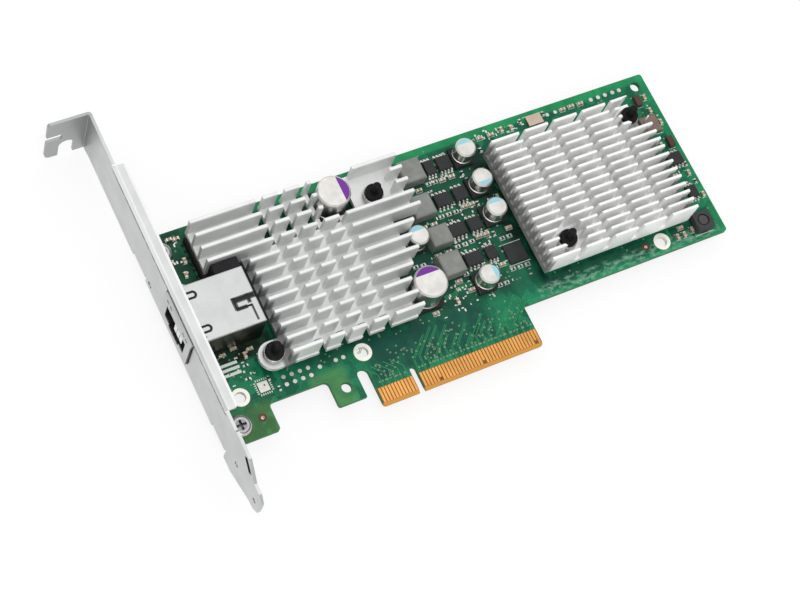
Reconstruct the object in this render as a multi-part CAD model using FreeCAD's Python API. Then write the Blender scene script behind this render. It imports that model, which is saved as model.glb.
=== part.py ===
"""Network interface card: a low board with an edge connector, a full-height slot
bracket, one shielded jack, two finned heatsinks and the power parts between them.

Frame: the origin is at the middle of the key notch, on the lower edge of the contact
fingers, on the component face. X runs along the card away from the bracket, Y runs up
the board away from the slot, and Z stands up out of the component face. Millimetres.
"""
import FreeCAD, Part
import math
import os

V = FreeCAD.Vector

# ---- circuit board -------------------------------------------------------------
BOARD_THICK = 1.57
BOARD_PLATE_GAP = 1.55      # clear gap between the board's left edge and the bracket's plate
BOARD_RIGHT = 110.5
BOARD_TOP = 68.9
BOARD_LOW = 12.6            # lower edge beyond the contact fingers
TAB_LOW = 4.3               # lower edge of the two plain tabs
CORNER_R = 0.8
FINGER_LEFT = -12.15
FINGER_RIGHT = 39.15
KEY_W = 1.9
KEY_TOP = 7.7
HOOK_SLOT_W = 3.4           # slot for the hook of the slot's latch
HOOK_SLOT_TOP = 12.2
RETAINER_W = 8.5            # plain tab beside the hook slot
RETAINER_HOLE_R = 1.5
RETAINER_HOLE_UP = 4.5      # hole above the tab's lower edge
GAP_W = 17.9                # clear gap between the two plain tabs
GAP_TOP = 12.4
GAP_R = 1.5
BEVEL_H = 1.3
BEVEL_D = 0.4
HOOK_RIGHT = FINGER_LEFT
HOOK_LEFT = HOOK_RIGHT - HOOK_SLOT_W
GAP_RIGHT = HOOK_LEFT - RETAINER_W
GAP_LEFT = GAP_RIGHT - GAP_W
BACK_Z = -BOARD_THICK

# ---- contact fingers -----------------------------------------------------------
PAD_PITCH = 1.0
PAD_W = 0.7
PAD_LOW = 0.9
PAD_TOP = 5.27
PAD_SHORT = 1.1             # how much the presence pads are cut back
PAD_THICK = 0.05
FIRST_PAD_OUT = 1.5         # first pad each side of the key
PADS_LEFT = 11
PADS_RIGHT = 38
PRESENCE_PADS = (5, 19, 36)  # index of the short pads on the component side

# ---- tooling and mounting holes --------------------------------------------------
TOOL_HOLE_IN = 7.1          # left tooling hole from the board's left edge
TOOL_HOLE_R = 1.6
TOOL_RING_R = 2.65
RING_THICK = 0.05
CORNER_HOLE = (106.7, 65.4)
CORNER_HOLE_R = 1.55
SMALL_HOLES = ((-45.2, 9.2), (83.3, 16.4))
SMALL_HOLE_R = 0.5
SMALL_RING_R = 1.2

# ---- slot bracket ----------------------------------------------------------------
SHEET = 0.86
PLATE_OUT = -58.01          # outer face of the plate
PLATE_LOW = -3.71           # plate edge below the board
PLATE_W = 18.42
PLATE_HIGH = PLATE_LOW + PLATE_W
BEND_Y = 104.0              # outer corner of the top bend
BEND_R = 1.0
TAB_DEPTH = 11.8
TAB_R_LOW = 1.9             # rounding of the tab's lower corners
TAB_R_HIGH = 0.9
TIP_Y = -15.0
TONGUE_W = 11.4
TONGUE_MID = 4.45           # the tongue's middle line, in Z
WING_TOP = 5.2              # the plate widens below this Y, above the tongue
WING_RISE = 0.7
WING_OUT_LOW = 2.4          # how far the widening stands out, on the lower edge
WING_OUT_HIGH = 0.8
SHOULDER_LOW = (0.2, -10.4)  # start and end of the taper on the lower edge, in Y
SHOULDER_HIGH = (-4.2, -9.6)  # the same on the upper edge
HEAD_STEP = (102.0, 99.2)   # end and start of the widening below the bend, in Y
TIP_NOSE = 2.4
TIP_R = 1.4
SCREW_NOTCH_W = 4.5
SCREW_NOTCH_OUT = 5.6       # notch middle from the plate's outer face
SCREW_NOTCH_TOP = 3.0
TAB_OVER = 0.6              # the tab stands this far past the plate's lower edge
SLIT_W = 2.6
SLIT_DEPTH = 4.6
SLIT_Z = 6.4
FLANGE_DEPTH = 3.6
FLANGE_LOW = 10.3
FLANGE_TOP = 86.2
FLANGE_R = 1.0
FLANGE_BEND_R = 1.2
VENT_HOLE = (56.3, -1.4)    # small round hole in the plate, Y and Z
VENT_HOLE_R = 1.1
GROOVE_START = (-2.9, 13.9)  # pressed groove beside the upper shoulder, Y and Z
GROOVE_END = (-6.9, 10.6)
GROOVE_W = 1.2
DIMPLES = ((-0.9, 2.4, 1.0), (-12.0, 3.4, 0.9))  # pressed dimples: Y, Z, radius
PRESS_DEEP = 0.4
EAR_W = 7.4
EAR_GAP = 0.6
EAR_OUT = 5.15              # screw line inside the plate's inner face
EAR_YS = (8.9, 63.0)
EAR_HOLE_R = 1.25
EAR_COLLAR_R = 2.4
EAR_COLLAR_H = 1.1
SCREW_HEAD_R = 3.1
SCREW_HEAD_H = 1.9
SCREW_R = 1.23
SCREW_CLEAR = 0.4
SCREW_LEN = 4.6             # under the head
CROSS_W = 0.75
CROSS_LEN = 3.0
CROSS_DEEP = 1.1
PLATE_IN = PLATE_OUT + SHEET
BOARD_LEFT = PLATE_IN + BOARD_PLATE_GAP
EAR_X = PLATE_IN + EAR_OUT
TOOL_HOLES = ((BOARD_LEFT + TOOL_HOLE_IN, 16.7), (-11.1, 16.6), (89.0, 16.3))
EAR_TOP = BACK_Z
EAR_LOW = EAR_TOP - SHEET

# ---- jack --------------------------------------------------------------------------
JACK_Y = 39.4
JACK_W = 17.2
JACK_UNDER_FLANGE = 1.45    # clear height between the jack's top and the bracket's flange
JACK_H = PLATE_HIGH - SHEET - JACK_UNDER_FLANGE
JACK_BACK = -36.2
JACK_PROUD = 0.7            # the jack stands out of the plate by this much
JACK_CUT_CLEAR = 0.25       # plate cut-out round the jack
SHIELD_T = 0.25
SHIELD_FIT = 0.02
PORT_W = 12.0
PORT_LOW = 0.8
PORT_DEEP = 14.0
LATCH_W = 6.2
LATCH_H = 1.3
PIN_COUNT = 8
PIN_PITCH = 1.02
PIN_T = 0.35
PIN_DROP = 1.8              # how far a contact wire slants down into the port
PIN_GROOVE_H = 1.0          # groove above the port for each contact wire
PIN_GROOVE_IN = 0.1         # the groove reaches this far into the port
PIN_GROOVE_CLEAR = 0.1
PIN_GROOVE_BACK = 2.0
PIN_TOP_GAP = 0.05
PIN_BACK = 2.6
PIN_FLAT_L = 1.4
PIN_END_SHORT = 3.4         # the wire ends this far before the back of the port
PIN_END_H = 0.25
LIGHT_R = 0.6
LIGHT_DOWN = 1.6            # light pipes below the jack's top
LIGHT_Z = JACK_H - LIGHT_DOWN
PORT_UNDER_LIGHT = 2.0      # wall between the port and the light pipes
PORT_H = LIGHT_Z - LIGHT_R - PORT_UNDER_LIGHT - PORT_LOW
LIGHT_OUT = ((-6.0, -4.1), (4.1, 6.0))
LIGHT_HOLE_CLEAR = 0.12
LIGHT_LEN = 5.0
LIGHT_IN = 0.05             # light pipes lie behind the jack's face by this much
JACK_FRONT = PLATE_OUT - JACK_PROUD
JACK_LEG_W = 1.2
JACK_LEG_L = 3.2
JACK_LEG_BACK = (7.5, 14.0)  # the legs behind the jack's front
SPRING_CUT_OUT = 5.2        # contact springs in the shield's top, from the jack's middle
SPRING_CUT_BACK = 3.8
SPRING_CUT_L = 3.8
SPRING_CUT_HALF = 1.1
SPRING_TONGUE_HALF = 0.62
WINDOW_L = 6.6              # length of the slots round the shield's latch tongue
WINDOW_W = 1.1
WINDOW_SIDE = 0.2           # the wide slot passes the jack's middle by this much
TONGUE_SLOT_W = 0.6
TONGUE_SLOT_OUT = 3.3
TONGUE_SLOT_SHORT = 2.0
TONGUE_END_W = 0.4
TONGUE_NECK = 0.9           # what holds the small tongue beside its last slot
SEAM_W = 0.16               # folded seam in the shield's top, from the window
SEAM_LOW = 7.2              # end of the seam, below the jack's middle
SEAM_DEEP = 0.12

# ---- magnetics module --------------------------------------------------------------
MAG_X = (-44.8, -34.0)
MAG_GAP = 0.5               # clear gap beside the jack
MAG_L = 16.1
MAG_Y = (JACK_Y + JACK_W / 2 + MAG_GAP, JACK_Y + JACK_W / 2 + MAG_GAP + MAG_L)
MAG_H = 3.1
MAG_TALL_X = (-43.5, -35.7)  # the tall part of the module, beside the jack
MAG_TALL_CLEAR = 0.35       # clear gap between the tall part and the heatsink's wing
MAG_TALL_H = 10.4
MAG_LEADS = 8

# ---- heatsink common ---------------------------------------------------------------
FIN_TOP = 12.0
FIN_CHAMFER = 0.2
PUSH_HEAD_R = 2.65
PUSH_HEAD_H = 1.3
PUSH_HEAD_Z = 7.5
PUSH_KNOB_R = 1.2           # narrow knob on the head
PUSH_KNOB_H = 4.0
PUSH_STEM_R = 1.5
PUSH_HOLE_CLEAR = 0.25
PUSH_BARB_R = 1.95
PUSH_BARB_LOW = -4.4
SPRING_WIRE = 0.5
SPRING_R = 2.75             # coil middle radius
SPRING_GAP = 0.05
SPRING_TURNS = 3

# ---- large heatsink over the line chip ----------------------------------------------
BIG_BASE_LOW = 3.5
BIG_BASE_TOP = 5.0
BIG_FIN_T = 1.1
BIG_PITCH = 4.05
BIG_FIN_COUNT = 12
BIG_FIRST_Y = 20.3          # middle of the lowest fin
BIG_LEFT = -33.2
BIG_WING_LEFT = -44.2
BIG_WING_FINS = 4
BIG_CUTS = (-23.15, -16.4, -9.65, -2.8)
BIG_CUT_W = 2.3
BIG_FIN_ENDS = (7.3, 7.3, 7.2, 9.5, 13.4, 13.2, 15.8, 19.9, 19.9, 19.8, 19.8, 19.8)
BIG_BASE_RIGHT_LOW = 6.7
BIG_BASE_RIGHT_MID = 12.6
BIG_BASE_RIGHT_TOP = 19.9
BIG_PIN_EAR = (-36.6, 23.3)
BIG_PIN_FAR = (10.15, 57.2)
BIG_EAR_R = 4.1
BIG_CLEAR_LEFT = 4.3        # floor cleared of fins round the far pin
BIG_CLEAR_RIGHT = 16.0
BIG_CLEAR_TOP_ROW = 1.5     # the top row starts this far right of the cleared floor
BIG_CAP_BAY = 0.7           # clear gap round the tall capacitor
BIG_EDGE_LOW = 0.4          # base edge outside the lowest fin
BIG_EDGE_TOP = 0.2
BIG_CUT_SHORT = 0.6         # a cross cut stops this far before the second fin
LINE_CHIP = 25.0
LINE_CHIP_H = 2.9
LINE_CHIP_X = (BIG_PIN_EAR[0] + BIG_PIN_FAR[0]) / 2
LINE_CHIP_Y = (BIG_PIN_EAR[1] + BIG_PIN_FAR[1]) / 2

# ---- small heatsink over the controller chip ------------------------------------------
SMALL_LEFT = 48.6
SMALL_RIGHT = 98.6
SMALL_BASE_LOW = 2.5
SMALL_BASE_TOP = 4.4
SMALL_FIN_T = 0.85
SMALL_PITCH = 2.627
SMALL_FIN_COUNT = 16
SMALL_FIRST_Y = 19.35
SMALL_CUTS = (58.8, 68.7, 78.6, 88.6)
SMALL_CUT_W = 2.1
SMALL_PINS = ((58.0, 24.8), (95.3, 54.2))
SMALL_POCKET_R = 4.6
CONTROL_CHIP = 27.0
CONTROL_CHIP_H = 2.1
CONTROL_CHIP_X = (SMALL_PINS[0][0] + SMALL_PINS[1][0]) / 2
CONTROL_CHIP_Y = (SMALL_PINS[0][1] + SMALL_PINS[1][1]) / 2
CAP_IN = 1.5                # a large chip's moulded cap lies inside its substrate
CAP_SPLIT = 0.55            # share of the height where the cap starts
THERMAL_PAD_IN = 2.0        # a thermal pad's edge inside the chip's edge
BALL_ROWS = 6
BALL_R = 0.35
BALL_H = 0.4

# ---- electrolytic capacitors: X, Y -------------------------------------------------------
SMALL_CAPS = ((43.0, 61.8), (43.4, 51.4), (43.2, 41.6), (17.3, 41.3), (31.4, 23.3))
SMALL_CAP_R = 3.1
SMALL_CAP_H = 6.9
BIG_CAPS = ((12.6, 26.0), (-1.5, 60.6))
BIG_CAP_R = 4.95
BIG_CAP_H = 10.4
CAP_BASE_H = 1.2
CAP_BASE_OVER = 0.2
CAP_NECK_UP = 1.1           # crimp groove above the base
CAP_NECK_H = 0.5
CAP_NECK_IN = 0.28
CAP_EDGE_R = 0.45

# ---- moulded inductors: X, Y, length, width ------------------------------------------------
INDUCTORS = ((25.3, 61.4, 7.0, 7.0), (23.3, 50.2, 6.8, 6.8), (24.2, 40.0, 6.4, 6.0),
             (23.5, 30.9, 6.8, 6.8))
INDUCTOR_H = 4.6
INDUCTOR_FOOT = 0.5
INDUCTOR_EDGE = 0.35

# ---- gull-wing chips: name, X, Y, body length, body width, leads a side, leads along X ---------
LEADED = (("switch_driver_1", 32.2, 61.6, 3.1, 4.3, 3),
          ("power_switch_1", 37.0, 61.6, 4.4, 4.3, 4),
          ("power_switch_2", 31.4, 50.9, 5.1, 3.9, 4),
          ("switch_driver_2", 37.2, 51.0, 4.3, 4.2, 3),
          ("power_switch_3", 31.2, 40.8, 5.1, 3.9, 4),
          ("switch_driver_3", 36.8, 40.8, 4.2, 3.9, 3),
          ("power_switch_4", 31.5, 30.9, 5.3, 3.9, 4),
          ("switch_driver_4", 37.4, 30.9, 3.4, 3.9, 3),
          ("flash_memory", 106.0, 39.0, 4.9, 3.9, 4),
          ("sensor_chip", 105.8, 27.4, 3.2, 3.9, 3))
LEADED_H = 1.55
LEADED_LIFT = 0.12
LEAD_W = 0.42
LEAD_T = 0.18
LEAD_REACH = 1.05
LEAD_PITCH = 1.27
SQUARE_CHIP = (44.4, 28.6, 6.0, 0.95)
SHIELDED = (103.2, 17.3, 5.6, 3.1)
SHIELDED_WELL_R = 1.9
SHIELDED_WELL_DEEP = 0.7
CRYSTALS = (("crystal", 70.2, 65.4, 5.0, 3.2, 1.1), ("oscillator", 104.2, 51.8, 5.7, 5.6, 1.5))
TANTALS = ((104.4, 60.3), (107.6, 44.6))
TANTAL_L = 3.4
TANTAL_W = 1.8
TANTAL_H = 1.7

# ---- chip parts: X, Y, turned (1: long side along Y) ------------------------------------------
CERAMICS = ((34.5, 57.0, 0), (37.6, 57.1, 0), (22.0, 56.2, 0), (26.3, 56.2, 0), (22.4, 44.9, 0),
            (25.7, 44.9, 0), (36.8, 47.0, 0), (39.2, 47.0, 0), (22.6, 35.5, 0), (25.9, 35.5, 0),
            (36.6, 37.0, 0), (39.0, 36.9, 0), (24.6, 26.2, 0), (39.2, 26.6, 0), (13.8, 19.6, 0),
            (21.4, 20.8, 1), (27.0, 22.6, 0), (47.5, 55.5, 1), (47.6, 46.5, 1), (46.4, 36.4, 0),
            (51.5, 65.6, 0), (55.2, 65.5, 0), (59.0, 65.9, 1), (62.2, 65.4, 1), (80.5, 65.8, 0),
            (83.6, 65.9, 0), (86.8, 65.8, 0), (107.0, 56.4, 1), (107.4, 61.0, 1), (108.3, 51.8, 1),
            (102.5, 45.5, 0), (104.6, 44.6, 1), (103.6, 34.0, 0), (108.2, 33.6, 1),
            (101.8, 24.8, 1), (109.0, 25.6, 1), (94.2, 15.8, 1), (96.6, 15.8, 1), (96.4, 18.2, 0),
            (99.6, 16.4, 1), (-46.6, 59.0, 1), (-48.2, 66.4, 0), (-46.2, 66.0, 0), (-48.0, 55.0, 1),
            (-44.6, 30.2, 0), (-48.2, 29.4, 0), (-42.4, 27.4, 1), (-40.4, 28.6, 0))
CERAMIC = (1.6, 0.85, 0.85)
RESISTORS = ((30.0, 57.2, 0), (32.2, 57.2, 0), (41.2, 57.0, 1), (29.0, 46.4, 0), (31.4, 46.4, 0),
             (33.8, 46.4, 0), (41.2, 46.6, 1), (29.2, 36.2, 0), (31.6, 36.2, 0), (34.0, 36.3, 0),
             (41.3, 36.2, 1), (27.6, 27.6, 0), (36.8, 26.3, 0), (43.0, 34.0, 0), (45.4, 34.0, 0),
             (41.6, 24.2, 0), (44.0, 24.1, 0), (46.4, 24.1, 0), (35.5, 21.0, 0), (37.8, 21.0, 0),
             (50.0, 62.0, 1), (66.0, 66.6, 1), (74.0, 66.6, 1), (102.2, 41.6, 1), (102.3, 38.4, 1),
             (102.0, 30.6, 1), (109.0, 30.4, 1), (109.0, 36.6, 1), (101.2, 20.8, 1),
             (-43.4, 24.6, 0), (-39.0, 19.0, 1), (-44.4, 20.8, 0), (-37.4, 15.2, 1),
             (-52.0, 30.2, 1), (-50.2, 52.0, 1), (-48.0, 51.2, 0), (14.6, 34.6, 0), (17.0, 34.4, 0),
             (17.4, 47.3, 0), (19.2, 45.8, 0))
RESISTOR = (1.15, 0.62, 0.4)


def box(x0, x1, y0, y1, z0, z1):
    return Part.makeBox(x1 - x0, y1 - y0, z1 - z0, V(x0, y0, z0))


def block(x, y, length, width, z0, z1):
    return box(x - length / 2, x + length / 2, y - width / 2, y + width / 2, z0, z1)


def disc(x, y, radius, z0, z1):
    return Part.makeCylinder(radius, z1 - z0, V(x, y, z0))


def along_x(x0, x1, y, z, radius):
    return Part.makeCylinder(radius, x1 - x0, V(x0, y, z), V(1, 0, 0))


def joined(shapes):
    """Fuse shapes that touch into one clean solid."""
    first = shapes[0]
    if len(shapes) > 1:
        first = first.fuse(shapes[1:])
    return first.removeSplitter()


def upright_edges(shape, points):
    """The edges of shape that stand on the given X, Y points."""
    found = []
    for edge in shape.Edges:
        a = edge.Vertexes[0].Point
        b = edge.Vertexes[-1].Point
        if abs(a.x - b.x) > 1e-6 or abs(a.y - b.y) > 1e-6 or abs(a.z - b.z) < 1e-6:
            continue
        if any(math.hypot(a.x - x, a.y - y) < 1e-4 for x, y in points):
            found.append(edge)
    return found


def top_edges(shape, z):
    """Every edge of shape that lies wholly at height z."""
    level = [e for e in shape.Edges if all(abs(v.Point.z - z) < 1e-6 for v in e.Vertexes)]
    return level


def save(name, shape):
    """Write one node, and say how many solids it has."""
    solids = shape.Solids
    if not shape.isValid() or not solids:
        raise ValueError(name + " is not a valid solid")
    shape.exportStep("parts/" + name + ".step")
    print(name, len(solids), "solids", round(shape.Volume, 2), "mm3")


def group(shapes):
    return Part.makeCompound(shapes)


# ---- circuit board -----------------------------------------------------------------
def board_outline():
    """Outline points of the board, round from the lower left tab."""
    return [(BOARD_LEFT, TAB_LOW), (GAP_LEFT, TAB_LOW), (GAP_LEFT, GAP_TOP), (GAP_RIGHT, GAP_TOP),
            (GAP_RIGHT, TAB_LOW), (FINGER_LEFT, TAB_LOW), (FINGER_LEFT, 0.0), (FINGER_RIGHT, 0.0),
            (FINGER_RIGHT, BOARD_LOW), (BOARD_RIGHT, BOARD_LOW), (BOARD_RIGHT, BOARD_TOP),
            (BOARD_LEFT, BOARD_TOP)]


def slot_up(x, y_low, y_top, width):
    """A cutter open at the bottom with a round top end, through the board."""
    r = width / 2
    body = box(x - r, x + r, y_low, y_top - r, BACK_Z - 1, 1)
    return body.fuse(disc(x, y_top - r, r, BACK_Z - 1, 1))


def finger_bevel(face_sign):
    """A wedge that bevels the lower edge of the fingers on one face."""
    z_face = 0.0 if face_sign > 0 else BACK_Z
    corner = [V(0, -0.01, z_face + face_sign * 0.01), V(0, BEVEL_H, z_face + face_sign * 0.01),
              V(0, -0.01, z_face - face_sign * BEVEL_D)]
    wedge = Part.Face(Part.makePolygon(corner + [corner[0]]))
    length = FINGER_RIGHT - FINGER_LEFT + 2
    solid = wedge.extrude(V(length, 0, 0))
    solid.translate(V(FINGER_LEFT - 1, 0, 0))
    return solid


def push_pin_places():
    return [BIG_PIN_EAR, BIG_PIN_FAR] + list(SMALL_PINS)


def circuit_board():
    points = [V(x, y, BACK_Z) for x, y in board_outline()]
    blank = Part.Face(Part.makePolygon(points + [points[0]])).extrude(V(0, 0, BOARD_THICK))
    rounds = upright_edges(blank, [(GAP_LEFT, GAP_TOP), (GAP_RIGHT, GAP_TOP)])
    blank = blank.makeFillet(GAP_R, rounds)
    corners = [(BOARD_RIGHT, BOARD_LOW), (BOARD_RIGHT, BOARD_TOP), (BOARD_LEFT, BOARD_TOP),
               (BOARD_LEFT, TAB_LOW), (GAP_LEFT, TAB_LOW), (GAP_RIGHT, TAB_LOW),
               (FINGER_LEFT, 0.0), (FINGER_RIGHT, 0.0)]
    blank = blank.makeFillet(CORNER_R, upright_edges(blank, corners))
    cutters = [slot_up(0.0, -1.0, KEY_TOP, KEY_W),
               slot_up((HOOK_LEFT + HOOK_RIGHT) / 2, TAB_LOW - 5, HOOK_SLOT_TOP, HOOK_SLOT_W),
               finger_bevel(1), finger_bevel(-1)]
    retainer_x = (GAP_RIGHT + HOOK_LEFT) / 2
    cutters.append(disc(retainer_x, TAB_LOW + RETAINER_HOLE_UP, RETAINER_HOLE_R, BACK_Z - 1, 1))
    cutters.append(disc(CORNER_HOLE[0], CORNER_HOLE[1], CORNER_HOLE_R, BACK_Z - 1, 1))
    for x, y in TOOL_HOLES:
        cutters.append(disc(x, y, TOOL_HOLE_R, BACK_Z - 1, 1))
    for x, y in SMALL_HOLES:
        cutters.append(disc(x, y, SMALL_HOLE_R, BACK_Z - 1, 1))
    for y in EAR_YS:
        cutters.append(disc(EAR_X, y, SCREW_R + SCREW_CLEAR, BACK_Z - 1, 1))
    for x, y in push_pin_places():
        cutters.append(disc(x, y, PUSH_STEM_R + PUSH_HOLE_CLEAR, BACK_Z - 1, 1))
    for x, y in shield_leg_places():
        cutters.append(disc(x, y, JACK_LEG_W * 0.62, BACK_Z - 1, 1))
    return blank.cut(cutters).removeSplitter()


def contact_pads(z0, short_pads):
    """The row of contact fingers on one face."""
    pads = []
    for i in range(PADS_LEFT):
        x = -FIRST_PAD_OUT - i * PAD_PITCH
        low = PAD_LOW + (PAD_SHORT if ("left", i) in short_pads else 0.0)
        pads.append(block(x, (low + PAD_TOP) / 2, PAD_W, PAD_TOP - low, z0, z0 + PAD_THICK))
    for i in range(PADS_RIGHT):
        x = FIRST_PAD_OUT + i * PAD_PITCH
        low = PAD_LOW + (PAD_SHORT if ("right", i) in short_pads else 0.0)
        pads.append(block(x, (low + PAD_TOP) / 2, PAD_W, PAD_TOP - low, z0, z0 + PAD_THICK))
    return pads


def hole_rings():
    rings = []
    for x, y in TOOL_HOLES:
        rings.append(disc(x, y, TOOL_RING_R, 0, RING_THICK).cut(disc(x, y, TOOL_HOLE_R, -1, 1)))
    for x, y in SMALL_HOLES:
        rings.append(disc(x, y, SMALL_RING_R, 0, RING_THICK).cut(disc(x, y, SMALL_HOLE_R, -1, 1)))
    return rings


# ---- slot bracket ---------------------------------------------------------------------
def plate_profile():
    """The flat plate in Y and Z: straight sides, a wider stretch and a narrow tongue."""
    tongue_low = TONGUE_MID - TONGUE_W / 2
    tongue_high = TONGUE_MID + TONGUE_W / 2
    head_low = PLATE_LOW - TAB_OVER
    wing_low = PLATE_LOW - WING_OUT_LOW
    wing_high = PLATE_HIGH + WING_OUT_HIGH
    return [(BEND_Y - BEND_R, head_low), (HEAD_STEP[0], head_low), (HEAD_STEP[1], PLATE_LOW),
            (WING_TOP, PLATE_LOW), (WING_TOP - WING_RISE, wing_low),
            (SHOULDER_LOW[0], wing_low), (SHOULDER_LOW[1], tongue_low),
            (TIP_Y + TIP_NOSE, tongue_low), (TIP_Y, tongue_low + TIP_NOSE),
            (TIP_Y, tongue_high - TIP_NOSE), (TIP_Y + TIP_NOSE, tongue_high),
            (SHOULDER_HIGH[1], tongue_high), (SHOULDER_HIGH[0], wing_high),
            (WING_TOP - 2 * WING_RISE, wing_high), (WING_TOP - WING_RISE, PLATE_HIGH),
            (BEND_Y - BEND_R, PLATE_HIGH)]


def bracket_plate():
    points = [V(PLATE_OUT, y, z) for y, z in plate_profile()]
    plate = Part.Face(Part.makePolygon(points + [points[0]])).extrude(V(SHEET, 0, 0))
    tip = [e for e in plate.Edges if abs(e.Length - SHEET) < 1e-6
           and e.CenterOfMass.y < TIP_Y + TIP_NOSE + 0.1]
    plate = plate.makeFillet(TIP_R, tip)
    fold = box(PLATE_OUT - 1, PLATE_IN + 1, FLANGE_LOW, FLANGE_TOP, PLATE_HIGH - FLANGE_BEND_R,
               PLATE_HIGH + 1)
    return plate.cut([fold, pressed_groove()] + pressed_dimples())


def pressed_groove():
    """A cutter for the short pressed groove beside the plate's upper shoulder."""
    start = V(PLATE_OUT, GROOVE_START[0], GROOVE_START[1])
    end = V(PLATE_OUT, GROOVE_END[0], GROOVE_END[1])
    along = (end - start).normalize()
    across = V(1, 0, 0).cross(along) * (GROOVE_W / 2)
    corners = [start + across, end + across, end - across, start - across]
    face = Part.Face(Part.makePolygon(corners + [corners[0]]))
    return face.extrude(V(2 * PRESS_DEEP, 0, 0)).translated(V(-PRESS_DEEP, 0, 0))


def pressed_dimples():
    return [along_x(PLATE_OUT - PRESS_DEEP, PLATE_OUT + PRESS_DEEP, y, z, radius)
            for y, z, radius in DIMPLES]


def bracket_tab():
    """The bent top tab with the half-round screw notch and the guide slit."""
    low = PLATE_LOW - TAB_OVER
    y0 = BEND_Y - SHEET
    end = PLATE_OUT - TAB_DEPTH
    tab = box(end, PLATE_OUT - BEND_R + SHEET, y0, BEND_Y, low, PLATE_HIGH)
    ends = [e for e in tab.Edges if abs(e.Length - SHEET) < 1e-6 and e.CenterOfMass.x < end + 0.1]
    tab = tab.makeFillet(TAB_R_HIGH, [e for e in ends if e.CenterOfMass.z > SLIT_Z])
    notch_x = PLATE_OUT - SCREW_NOTCH_OUT
    r = SCREW_NOTCH_W / 2
    round_z = SCREW_NOTCH_TOP - r
    notch = Part.makeCylinder(r, 4, V(notch_x, y0 - 1, round_z), V(0, 1, 0))
    notch = notch.fuse(box(notch_x - r, notch_x + r, y0 - 1, BEND_Y + 1, low - 1, round_z))
    slit = box(end - 1, end + SLIT_DEPTH, y0 - 1, BEND_Y + 1, SLIT_Z - SLIT_W / 2,
               SLIT_Z + SLIT_W / 2)
    tab = tab.cut([notch, slit])
    foot = [e for e in tab.Edges if abs(e.Length - SHEET) < 1e-6
            and e.CenterOfMass.x < end + 0.1 and e.CenterOfMass.z < low + 0.1]
    return tab.makeFillet(TAB_R_LOW, foot)


def top_bend():
    """Quarter-round bend from the plate to the tab."""
    axis_x = PLATE_OUT - BEND_R + SHEET
    axis_y = BEND_Y - BEND_R
    low = PLATE_LOW - TAB_OVER
    width = PLATE_HIGH - low
    outer = Part.makeCylinder(BEND_R, width, V(axis_x, axis_y, low), V(0, 0, 1), 90)
    inner_r = BEND_R - SHEET
    inner = Part.makeCylinder(inner_r, width + 2, V(axis_x, axis_y, low - 1), V(0, 0, 1))
    return outer.cut(inner)


def bracket_flange():
    """The stiffening flange, folded inwards round its bend along the upper edge."""
    axis_x = PLATE_OUT + FLANGE_BEND_R
    axis_z = PLATE_HIGH - FLANGE_BEND_R
    x1 = PLATE_OUT + FLANGE_DEPTH
    flat = box(axis_x, x1, FLANGE_LOW, FLANGE_TOP, PLATE_HIGH - SHEET, PLATE_HIGH)
    flat = flat.makeFillet(FLANGE_R, upright_edges(flat, [(x1, FLANGE_LOW), (x1, FLANGE_TOP)]))
    base = V(axis_x, FLANGE_LOW, axis_z)
    length = FLANGE_TOP - FLANGE_LOW
    outer = Part.makeCylinder(FLANGE_BEND_R, length, base, V(0, 1, 0))
    inner = Part.makeCylinder(FLANGE_BEND_R - SHEET, length, base, V(0, 1, 0))
    quarter = box(PLATE_OUT, axis_x, FLANGE_LOW, FLANGE_TOP, axis_z, PLATE_HIGH)
    return flat.fuse(outer.cut(inner).common(quarter))


def bracket_ear(y):
    """A threaded ear folded under the board, with its drawn collar."""
    r = EAR_W / 2
    ear = box(PLATE_OUT + SHEET / 2, EAR_X, y - r, y + r, EAR_LOW, EAR_TOP)
    ear = ear.fuse(disc(EAR_X, y, r, EAR_LOW, EAR_TOP))
    ear = ear.fuse(disc(EAR_X, y, EAR_COLLAR_R, EAR_LOW - EAR_COLLAR_H, EAR_LOW))
    return ear


def ear_relief(y):
    """Material below the ear's bend, and a gap each side of it."""
    r = EAR_W / 2
    low = PLATE_LOW - WING_OUT_LOW - 1
    below = box(PLATE_OUT - 1, PLATE_IN + 1, y - r - EAR_GAP, y + r + EAR_GAP, low, EAR_LOW)
    sides = [box(PLATE_OUT - 1, PLATE_IN + 1, y + s * (r + EAR_GAP / 2) - EAR_GAP / 2,
                 y + s * (r + EAR_GAP / 2) + EAR_GAP / 2, low, EAR_TOP + 0.5) for s in (-1, 1)]
    return [below] + sides


def port_opening(x0, x1, clear):
    """The plug's outline: a wide main part and the narrow latch step under it."""
    half = PORT_W / 2 + clear
    main = box(x0, x1, JACK_Y - half, JACK_Y + half, PORT_LOW + LATCH_H - clear,
               PORT_LOW + PORT_H + clear)
    step = LATCH_W / 2 + clear
    latch = box(x0, x1, JACK_Y - step, JACK_Y + step, PORT_LOW - clear, PORT_LOW + LATCH_H)
    return main.fuse(latch).removeSplitter()


def jack_cut_out():
    """The plate's opening for the whole face of the jack."""
    half = JACK_W / 2 + JACK_CUT_CLEAR
    return box(PLATE_OUT - 1, PLATE_IN + 1, JACK_Y - half, JACK_Y + half, -JACK_CUT_CLEAR,
               JACK_H + JACK_CUT_CLEAR)


def light_places():
    return [JACK_Y + out for pair in LIGHT_OUT for out in pair]


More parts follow.
